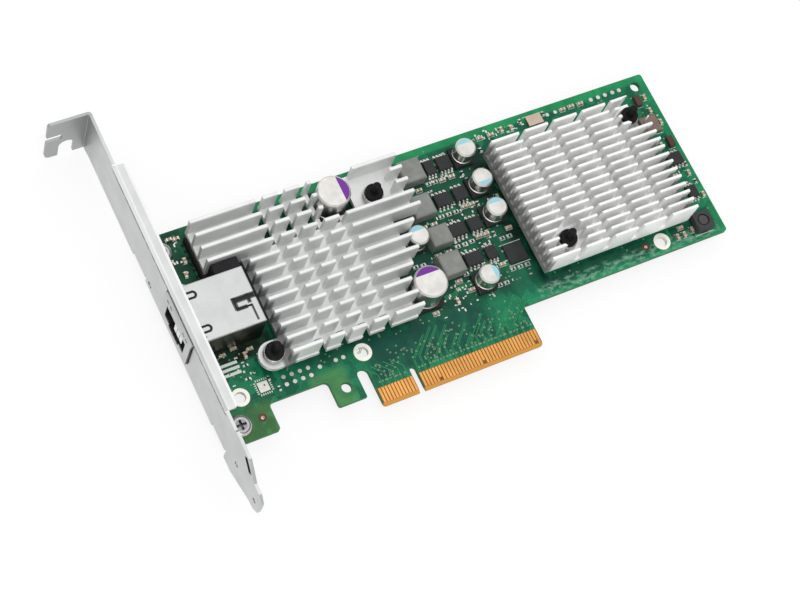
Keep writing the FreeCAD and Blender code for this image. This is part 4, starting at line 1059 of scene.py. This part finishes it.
def islands(node: str) -> list[Box]:
    """Boxes of the separate solids of a CAD node, in millimetres, from left to right.

    Args:
        node: The node's name.

    Returns:
        The lowest and highest corner of each solid.
    """
    shape = bmesh.new()
    shape.from_mesh(frame["nodes"][node].data)
    bmesh.ops.remove_doubles(shape, verts=shape.verts, dist=1e-7)
    left = set(shape.verts)
    boxes = []
    while left:
        group, edge = set(), [left.pop()]
        while edge:
            vert = edge.pop()
            group.add(vert)
            for link in vert.link_edges:
                other = link.other_vert(vert)
                if other in left:
                    left.remove(other)
                    edge.append(other)
        spread = list(zip(*(vert.co / MM for vert in group)))
        boxes.append(tuple(tuple(round(pick(axis), 4) for axis in spread) for pick in (min, max)))
    shape.free()
    return sorted(boxes)


def ring_spots(small: bool) -> list[Spot]:
    """Middles of the board's tinned rings, in millimetres.

    Args:
        small: Whether the small holes' rings are wanted, or the tooling holes'.

    Returns:
        The middles, from left to right.
    """
    widest_small = 4.0
    boxes = [box for box in islands("hole_rings") if (box[1][0] - box[0][0] < widest_small) == small]
    return [((low[0] + high[0]) / 2, (low[1] + high[1]) / 2) for low, high in boxes]


def scatter(chance: random.Random, low: Spot, high: Spot, count: int) -> list[Spot]:
    """Random points in an upright rectangle.

    Args:
        chance: Source of the draws.
        low: Lower left corner, in millimetres.
        high: Upper right corner.
        count: How many points.

    Returns:
        The points, in millimetres.
    """
    return [(chance.uniform(low[0], high[0]), chance.uniform(low[1], high[1])) for _ in range(count)]


# ---- sub-assemblies ---------------------------------------------------------------


class Assembly:
    """A sub-assembly of the card: it dresses its own nodes, then adds its pieces.

    Attributes:
        wears: The finish of each of its nodes, by name or by a pattern of names.
    """

    wears: ClassVar[dict[str, str]]

    def build(self) -> None:
        """Dress the nodes and add the pieces."""
        for pattern, finish in self.wears.items():
            for node in matching(frame["nodes"], pattern):
                PALETTE.dress(node, finish)
        self.detail()

    def detail(self) -> None:
        """Add the pieces that the solids leave out, where there are any."""


@dataclass
class Board(Assembly):
    """The printed board: mask, contacts, vias, lands, traces and printed marks.

    Attributes:
        film: Height of a land or a via's ring, in millimetres.
        ink: Height of a printed mark.
        skin: Height of a covered trace.
        round_lands: Test lands: places along X, places along Y, and radius.
        square: Middle of the bare place of a small leadless chip.
        square_half: Half of its middle land.
        pad_half: Half of the width and length of a pad round it.
        pad_out: Distance of these pads from the middle.
        pad_pitch: Their pitch, six to a side.
        bare: Spots of bare solder: corners of the place, and how many.
        via_radii: Radius of a via's ring and of its hole.
        via_deep: Height of the dark disc painted as the shade in a via's hole.
        via_row: Where the row of vias above the contacts is, along Y.
        key: Half width and top of the place round the key that vias leave free.
        finger_top: Where the contacts end, along Y.
        bars: The three printed bars: places along Y.
        bar: Middle along X, half length and half width of a bar.
    """

    wears = {"circuit_board": "board", "contact_fingers_*": "gold", "hole_rings": "ring"}
    film: float = 0.03
    ink: float = 0.02
    skin: float = 0.015
    round_lands: tuple[tuple[tuple[float, ...], tuple[float, ...], float], ...] = (
        ((-35, -32.5, -30, -27.5), (17.9, 15.6), 0.62), ((-24.25,), (17.0,), 0.62),
        ((-19.25, -16.9), (17.2,), 0.62), ((90.9, 93.5, 96.0, 98.7, 101.1), (66,), 0.66),
        ((75.3, 78.1), (65.9,), 0.6))
    square: Spot = (-41.25, 17.3)
    square_half: float = 1.5
    pad_half: Spot = (0.14, 0.28)
    pad_out: float = 2.15
    pad_pitch: float = 0.62
    bare: tuple[tuple[Spot, Spot, int], ...] = (
        ((20, 20), (47, 66), 150), ((46, 64.5), (70, 67.5), 34), ((-54, 50), (-45, 67), 22),
        ((14, 17), (34, 26), 30), ((100, 20), (109, 62), 26), ((-51, 20), (-38, 30), 14))
    via_radii: Spot = (0.25, 0.13)
    via_deep: float = 0.006
    via_row: float = 6.9
    key: Spot = (1.6, 9)
    finger_top: float = 5.4
    bars: tuple[float, ...] = (26.6, 25.1, 23.6)
    bar: Place = (-48.25, 3.15, 0.42)

    def lands(self) -> None:
        """Round test lands, the bare place of a leadless chip, and spots of bare solder."""
        shape = bmesh.new()
        for across, up, radius in self.round_lands:
            for y in up:
                for x in across:
                    disc(shape, x, y, 0, radius, self.film, 16)
        x, y = self.square
        plate(shape, self.square, (self.square_half, self.square_half), self.film)
        self.bare_spots(shape)
        narrow, long = self.pad_half
        for step in range(6):
            along = (step - 2.5) * self.pad_pitch
            for out in (-self.pad_out, self.pad_out):
                plate(shape, (x + along, y + out), (narrow, long), self.film)
                plate(shape, (x + out, y + along), (long, narrow), self.film)
        piece("board_lands", shape, "tin")

    def bare_spots(self, shape: bmesh.types.BMesh) -> None:
        """Scatter small spots of bare solder.

        Args:
            shape: The mesh to add them to.
        """
        chance = random.Random(23)
        for low, high, count in self.bare:
            for _ in range(count):
                spot = scatter(chance, low, high, 1)[0]
                half = chance.uniform(0.25, 0.5), chance.uniform(0.14, 0.28)
                if chance.random() < 0.5:
                    half = half[::-1]
                plate(shape, spot, half, self.film)

    def vias(self) -> None:
        """Plated vias, with painted shade for their holes, in a row above the contacts and scattered over
        both faces.
        """
        chance = random.Random(11)
        low, high = mm_box("circuit_board")
        spots = [(x + chance.choice((0, 0.5)), self.via_row) for x in range(-11, 39) if abs(x) > 1]
        spots += scatter(chance, (-10, 7.6), (38, 14), 120)
        spots += scatter(chance, (low[0] + 4, 13.6), (high[0] - 2, high[1] - 1.2), 420)
        rings, holes = bmesh.new(), bmesh.new()
        outer, inner = self.via_radii
        deep = self.via_deep
        for x, y in spots:
            if abs(x) < self.key[0] and y < self.key[1]:
                continue
            for z in (0.0, low[2] - self.film):
                disc(rings, x, y, z, outer, self.film, 10)
            # Dark discs on each via: painted shade for its hole.
            for z in (self.film, low[2] - self.film - deep):
                disc(holes, x, y, z, inner, deep, 8)
        piece("board_vias", rings, "via")
        piece("via_hole_shade", holes, "hole")

    def run(self, shape: bmesh.types.BMesh, path: list[Spot], count: int, pitch: float, wide: float,
            z: float) -> None:
        """Lay a bundle of covered traces side by side.

        Args:
            shape: The mesh to add them to.
            path: Corners of the first trace, in millimetres.
            count: How many traces run together.
            pitch: Spacing between them.
            wide: Width of each.
            z: Foot of the traces.
        """
        for lane in range(count):
            spots = []
            for i, (x, y) in enumerate(path):
                before = path[max(i - 1, 0)]
                after = path[min(i + 1, len(path) - 1)]
                along = Vector((after[0] - before[0], after[1] - before[1])).normalized()
                spots.append((x - along.y * lane * pitch, y + along.x * lane * pitch))
            for (xa, ya), (xb, yb) in zip(spots, spots[1:]):
                half = (math.hypot(xb - xa, yb - ya) + wide * 0.6) / 2
                x, y = (xa + xb) / 2, (ya + yb) / 2
                block(shape, (x - half, y - wide / 2, z), (x + half, y + wide / 2, z + self.skin),
                      math.atan2(yb - ya, xb - xa))

    def wander(self, chance: random.Random) -> tuple[list[Spot], int]:
        """A random path for a bundle: a run, a slanted step and a second run.

        Args:
            chance: Source of the draws.

        Returns:
            The path's corners, in millimetres, and how many traces follow it.
        """
        x, y = scatter(chance, (-46, 15), (96, 64), 1)[0]
        first = chance.uniform(2, 7)
        step = chance.uniform(1, 3) * chance.choice((-1, 1))
        last = chance.uniform(2, 8)
        count = chance.choice((2, 3, 4))
        if chance.random() < 0.4:
            bend = y + first * 0.6
            end = bend + abs(step)
            return [(x, y), (x, bend), (x + step, end), (x + step, min(67.5, end + last * 0.5))], count
        end = x + first + abs(step)
        return [(x, y), (x + first, y), (end, y + step), (end + last, y + step)], count

    def traces(self) -> None:
        """Bundles of traces: up from the contacts, and between the chips on both faces."""
        shape = bmesh.new()
        chance = random.Random(5)
        foot = self.finger_top
        for pair in range(2, 38, 2):
            x = pair - 0.2
            rise, lean = chance.uniform(7.5, 10.5), chance.uniform(2, 7)
            self.run(shape, [(x, foot), (x, rise), (x + lean, rise + lean)], 2, 0.42, 0.16, 0)
        for x in range(-10, -1, 2):
            self.run(shape, [(x, foot), (x, 9), (x - 3, 12)], 1, 0.42, 0.22, 0)
        for z in (0.0, mm_box("circuit_board")[0][2] - self.skin):
            for _ in range(34):
                path, count = self.wander(chance)
                across, up = zip(*path)
                if max(up) <= 67 and min(up) >= 14 and max(across) <= 108:
                    self.run(shape, path, count, 0.4, 0.17, z)
        piece("covered_traces", shape, "trace")

    def marks(self) -> None:
        """White printed bars, and printed lines beside the parts."""
        shape = bmesh.new()
        x, long, wide = self.bar
        for y in self.bars:
            plate(shape, (x, y), (long, wide), self.ink)
        for group in ("ceramic_capacitors", "chip_resistors", "tantalum_capacitors"):
            for low, high in islands(group):
                if low[0] > -20:
                    self.lines(shape, low, high, 0.28, 0.12)
        for name in ("square_chip", "shielded_inductor", "crystal", "oscillator", "flash_memory",
                     "sensor_chip"):
            self.lines(shape, *mm_box(name), 0.5, 0.16)
        piece("printed_marks", shape, "print")

    def lines(self, shape: bmesh.types.BMesh, low: Place, high: Place, gap: float, wide: float) -> None:
        """Print a line below a part and one above it.

        Args:
            shape: The mesh to add them to.
            low: The part's lowest corner, in millimetres.
            high: Its highest corner.
            gap: How far outside the part the lines reach.
            wide: Their width.
        """
        x0, x1, y0, y1 = low[0] - gap, high[0] + gap, low[1] - gap, high[1] + gap
        block(shape, (x0, y0, 0), (x1, y0 + wide, self.ink))
        block(shape, (x0, y1 - wide, 0), (x1, y1, self.ink))

    def detail(self) -> None:
        """Add the lands, vias, traces and marks."""
        self.lands()
        self.vias()
        self.traces()
        self.marks()


@dataclass
class ChipParts(Assembly):
    """Small parts: tinned ends with their solder, and the leads' lands.

    Attributes:
        end: Length of a tinned end, as a share of the part's.
        proud: How far it stands out of the part, in millimetres.
        solder: Height of the solder at its foot, and how far that reaches.
        land: Margin and height of a lead's land.
        core: Radius, height and depth below the rim of the inductor's core.
    """

    wears = {"ceramic_capacitors": "ceramic", "chip_resistors": "resistor",
             "tantalum_capacitors": "tantalum", "chip_leads": "tin", "switch_driver_*": "chip",
             "power_switch_*": "chip", "flash_memory": "chip", "sensor_chip": "chip",
             "square_chip": "chip", "shielded_inductor": "ferrite", "crystal": "crystal_can",
             "oscillator": "oscillator"}
    end: float = 0.24
    proud: float = 0.02
    solder: Spot = (0.16, 0.22)
    land: Spot = (0.12, 0.03)
    core: Place = (1.5, 0.55, 0.7)

    def ends(self) -> None:
        """Tinned end caps and solder on the chip parts."""
        shape = bmesh.new()
        for group in ("ceramic_capacitors", "chip_resistors"):
            for low, high in islands(group):
                along = 0 if high[0] - low[0] > high[1] - low[1] else 1
                self.cap(shape, low, high, along)
        piece("tinned_ends", shape, "tin")

    def cap(self, shape: bmesh.types.BMesh, low: Place, high: Place, along: int) -> None:
        """Add both end caps of one part, with a little solder at each foot.

        Args:
            shape: The mesh to add them to.
            low: The part's lowest corner, in millimetres.
            high: Its highest corner.
            along: The axis that it lies along, 0 or 1.
        """
        reach = (high[along] - low[along]) * self.end
        rise, out = self.solder
        for side in (-1, 1):
            a = [v - self.proud for v in low]
            b = [v + self.proud for v in high]
            a[2] = 0
            inner, outer = (a, b) if side > 0 else (b, a)
            inner[along] = (high if side > 0 else low)[along] - side * reach
            block(shape, tuple(a), tuple(b))
            b[2] = rise
            outer[along] += side * out
            block(shape, tuple(a), tuple(b))

    def lead_lands(self) -> None:
        """Tinned lands under the leads of the chips."""
        shape = bmesh.new()
        margin, rise = self.land
        for low, high in islands("chip_leads"):
            block(shape, (low[0] - margin, low[1] - margin, 0), (high[0] + margin, high[1] + margin, rise))
        piece("lead_lands", shape, "tin")

    def drum(self) -> None:
        """The end of the core that stands in the well of the shielded inductor."""
        low, high = mm_box("shielded_inductor")
        shape = bmesh.new()
        radius, tall, deep = self.core
        disc(shape, (low[0] + high[0]) / 2, (low[1] + high[1]) / 2, high[2] - deep, radius, tall, 32, 0.97)
        piece("inductor_core", shape, "core")

    def detail(self) -> None:
        """Add the metal ends, the lands and the core."""
        self.ends()
        self.lead_lands()
        self.drum()


@dataclass
class Bracket(Assembly):
    """The slot bracket and its two screws."""

    wears = {"io_bracket": "bracket", "bracket_screws": "screw"}


@dataclass
class Jack(Assembly):
    """The shielded jack and the transformer block beside it.

    Attributes:
        spring_y: Span of the three contact springs along Y, in millimetres.
        spring_z: Their span along Z.
        spring_x: Their span along X, from the jack's front.
        spring_gap: Gap between two of them.
    """

    wears = {"jack_shield": "shield", "jack_housing": "housing", "jack_contacts": "gold",
             "jack_light_pipes": "light_pipe", "magnetics_module": "moulding"}
    spring_y: Spot = (35.6, 40.4)
    spring_z: Spot = (3.3, 8.0)
    spring_x: Spot = (0.45, 0.62)
    spring_gap: float = 0.2

    def detail(self) -> None:
        """Add the shield's three contact springs, as flat blocks in the mouth of the port."""
        front = mm_box("jack_shield")[0][0]
        shape = bmesh.new()
        (x0, x1), (y0, y1), (z0, z1) = self.spring_x, self.spring_y, self.spring_z
        wide = (y1 - y0 - 2 * self.spring_gap) / 3
        for i in range(3):
            y = y0 + i * (wide + self.spring_gap)
            block(shape, (front + x0, y, z0), (front + x1, y + wide, z1))
        piece("port_springs", shape, "bright")


@dataclass
class Cooling(Assembly):
    """Both heatsinks with their chips, pads, pins and springs."""

    wears = {"phy_heatsink": "heatsink", "controller_heatsink": "heatsink_fine", "phy_chip": "chip",
             "controller_chip": "chip", "*_thermal_pad": "pad", "chip_solder_balls": "tin",
             "heatsink_push_pins": "push_pin", "heatsink_pin_springs": "spring"}


class Side(Enum):
    """Which side of a can's top the coloured segment is on."""

    UP = (0, 1)
    DOWN = (0, -1)
    RIGHT = (1, 0)


@dataclass
class Power(Assembly):
    """Capacitors and inductors of the power section.

    Attributes:
        segments: Coloured segment of each can: its side, where its straight edge is
            as a share of the radius, and its ink.
        rim: Width of the bare rim round a segment, in millimetres.
        ink: Height of the ink.
    """

    wears = {"*_can": "capacitor_can", "*_base": "capacitor_base", "power_inductor_*": "inductor"}
    segments: tuple[tuple[str, Side, float, str], ...] = (
        ("small_capacitor_1_can", Side.UP, 0.46, "blue"),
        ("small_capacitor_2_can", Side.DOWN, 0.46, "blue"),
        ("small_capacitor_3_can", Side.UP, 0.46, "blue"),
        ("small_capacitor_4_can", Side.UP, 0.46, "blue"),
        ("small_capacitor_5_can", Side.RIGHT, 0.46, "blue"),
        ("large_capacitor_1_can", Side.UP, 0.53, "purple"),
        ("large_capacitor_2_can", Side.RIGHT, 0.48, "purple"))
    rim: float = 0.5
    ink: float = 0.02

    def segment(self, shape: bmesh.types.BMesh, node: str, side: Side, chord: float) -> None:
        """Add a thin coloured segment on a can's top.

        Args:
            shape: The mesh to add it to.
            node: The can.
            side: Which side of the top it is on.
            chord: Where its straight edge is, as a share of the radius.
        """
        low, high = mm_box(node)
        radius = (high[0] - low[0]) / 2 - self.rim
        x, y = (low[0] + high[0]) / 2, (low[1] + high[1]) / 2
        part = bmesh.new()
        disc(part, x, y, high[2], radius, self.ink, 40)
        out_x, out_y = side.value
        cut = at(x + out_x * chord * radius, y + out_y * chord * radius, 0)
        halved = bmesh.ops.bisect_plane(part, geom=part.verts[:] + part.edges[:] + part.faces[:],
                                        plane_co=cut, plane_no=(-out_x, -out_y, 0), clear_outer=True)
        open_edges = [e for e in halved["geom_cut"] if isinstance(e, bmesh.types.BMEdge)]
        bmesh.ops.edgeloop_fill(part, edges=open_edges)
        mesh = made(part, "segment")
        shape.from_mesh(mesh)
        bpy.data.meshes.remove(mesh)

    def detail(self) -> None:
        """Mark the cans with their coloured segments."""
        for ink in ("blue", "purple"):
            shape = bmesh.new()
            for node, side, chord, colour in self.segments:
                if colour == ink:
                    self.segment(shape, node, side, chord)
            piece("can_marks_" + ink, shape, ink)


# ---- studio -----------------------------------------------------------------------


@dataclass(frozen=True)
class Lamp:
    """A soft square lamp.

    Attributes:
        name: Its name.
        place: Where it hangs, in metres.
        target: What it looks at, in metres.
        size: Its side, in metres.
        power: Its power in watts.
    """

    name: str
    place: Place
    target: Place
    size: float
    power: float

    def hang(self) -> None:
        """Add the lamp to the scene."""
        data = bpy.data.lights.new(self.name, "AREA")
        data.size = self.size
        data.energy = self.power
        obj = added(self.name, data)
        obj.location = self.place
        look = Vector(self.target) - Vector(self.place)
        obj.rotation_euler = look.to_track_quat("-Z", "Y").to_euler()


@dataclass
class Studio:
    """Floor, soft lights, world and camera.

    Attributes:
        camera_at: Where the camera stands, in millimetres.
        aim: What it looks at.
        roll: Its roll, in degrees.
        lens: Its focal length, over a sensor 36 mm wide.
        world: Strength of the even world.
        glow: Share of plain white that the camera sees on the floor.
        lamps: The lamps.
    """

    camera_at: Place = (-193.92, -125.08, 489.82)
    aim: Place = (5.835, 27.103, 0.0)
    roll: float = 29.361
    lens: float = 87.96
    world: float = 0.8
    glow: float = 0.8
    lamps: tuple[Lamp, ...] = (
        Lamp("key", (-0.25, -0.35, 1.2), (0.02, 0.03, 0), 0.5, 5.0),
        Lamp("fill", (0.1, 0.5, 1.3), (0, 0.03, 0), 1.2, 3.0))

    def white(self, job: Paint) -> None:
        """Show a share of plain white to the camera and to mirrors, over the main shader.

        Args:
            job: The material in the making.
        """
        path = job.node("LightPath", {}, {})
        rays = job.out(path, "Is Camera Ray") + job.out(path, "Is Glossy Ray")
        rays = rays + job.out(path, "Is Transmission Ray")
        plain = job.node("Emission", {}, {"Color": (1.0, 1.0, 1.0), "Strength": 1.0})
        mix = job.node("MixShader", {}, {"Fac": job.spread(rays, 0, 1, 0, self.glow),
                                         1: job.out(job.shader), 2: job.out(plain)})
        job.feed(job.output.inputs[0], job.out(mix))

    def floor(self) -> None:
        """A plain pale floor under the card."""
        low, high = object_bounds()
        shape = bmesh.new()
        middle = (Vector(low) + Vector(high)) / 2
        middle.z = low[2]
        bmesh.ops.create_grid(shape, x_segments=1, y_segments=1, size=3, matrix=Matrix.Translation(middle))
        mesh = made(shape, "floor")
        obj = added("floor", mesh)
        job = Paint("floor")
        pale = job.blend(job.noise(20), shade(240, 240, 240), shade(246, 246, 246))
        job.set(Base_Color=pale, Roughness=0.9)
        self.white(job)
        mesh.materials.append(job.material)
        obj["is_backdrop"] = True

    def sky(self) -> None:
        """A plain even white world."""
        world = bpy.data.worlds.new("studio")
        bpy.context.scene.world = world
        world.use_nodes = True
        tree = world.node_tree
        tree.nodes.clear()
        output = tree.nodes.new("ShaderNodeOutputWorld")
        back = tree.nodes.new("ShaderNodeBackground")
        back.inputs["Color"].default_value = (1, 1, 1, 1)
        back.inputs["Strength"].default_value = self.world
        tree.links.new(back.outputs[0], output.inputs[0])

    def camera(self) -> None:
        """The camera, set by its place, what it looks at and its roll."""
        data = bpy.data.cameras.new("camera")
        data.lens = self.lens
        data.sensor_width = 36.0
        obj = added("camera", data)
        place, aim = at(*self.camera_at), at(*self.aim)
        look = (aim - place).to_track_quat("-Z", "Y").to_matrix()
        turn = Matrix.Rotation(math.radians(self.roll), 3, "Z")
        obj.matrix_world = Matrix.Translation(place) @ (look @ turn).to_4x4()
        bpy.context.scene.camera = obj

    def build(self) -> None:
        """Set the studio up."""
        self.floor()
        self.sky()
        for lamp in self.lamps:
            lamp.hang()
        self.camera()
        bpy.context.scene.view_settings.view_transform = "Standard"


def main() -> None:
    """Build every sub-assembly in order."""
    for part in (Board(), ChipParts(), Bracket(), Jack(), Cooling(), Power(), Studio()):
        part.build()
        log.info("built %s", type(part).__name__)


if __name__ == "__main__":
    main()
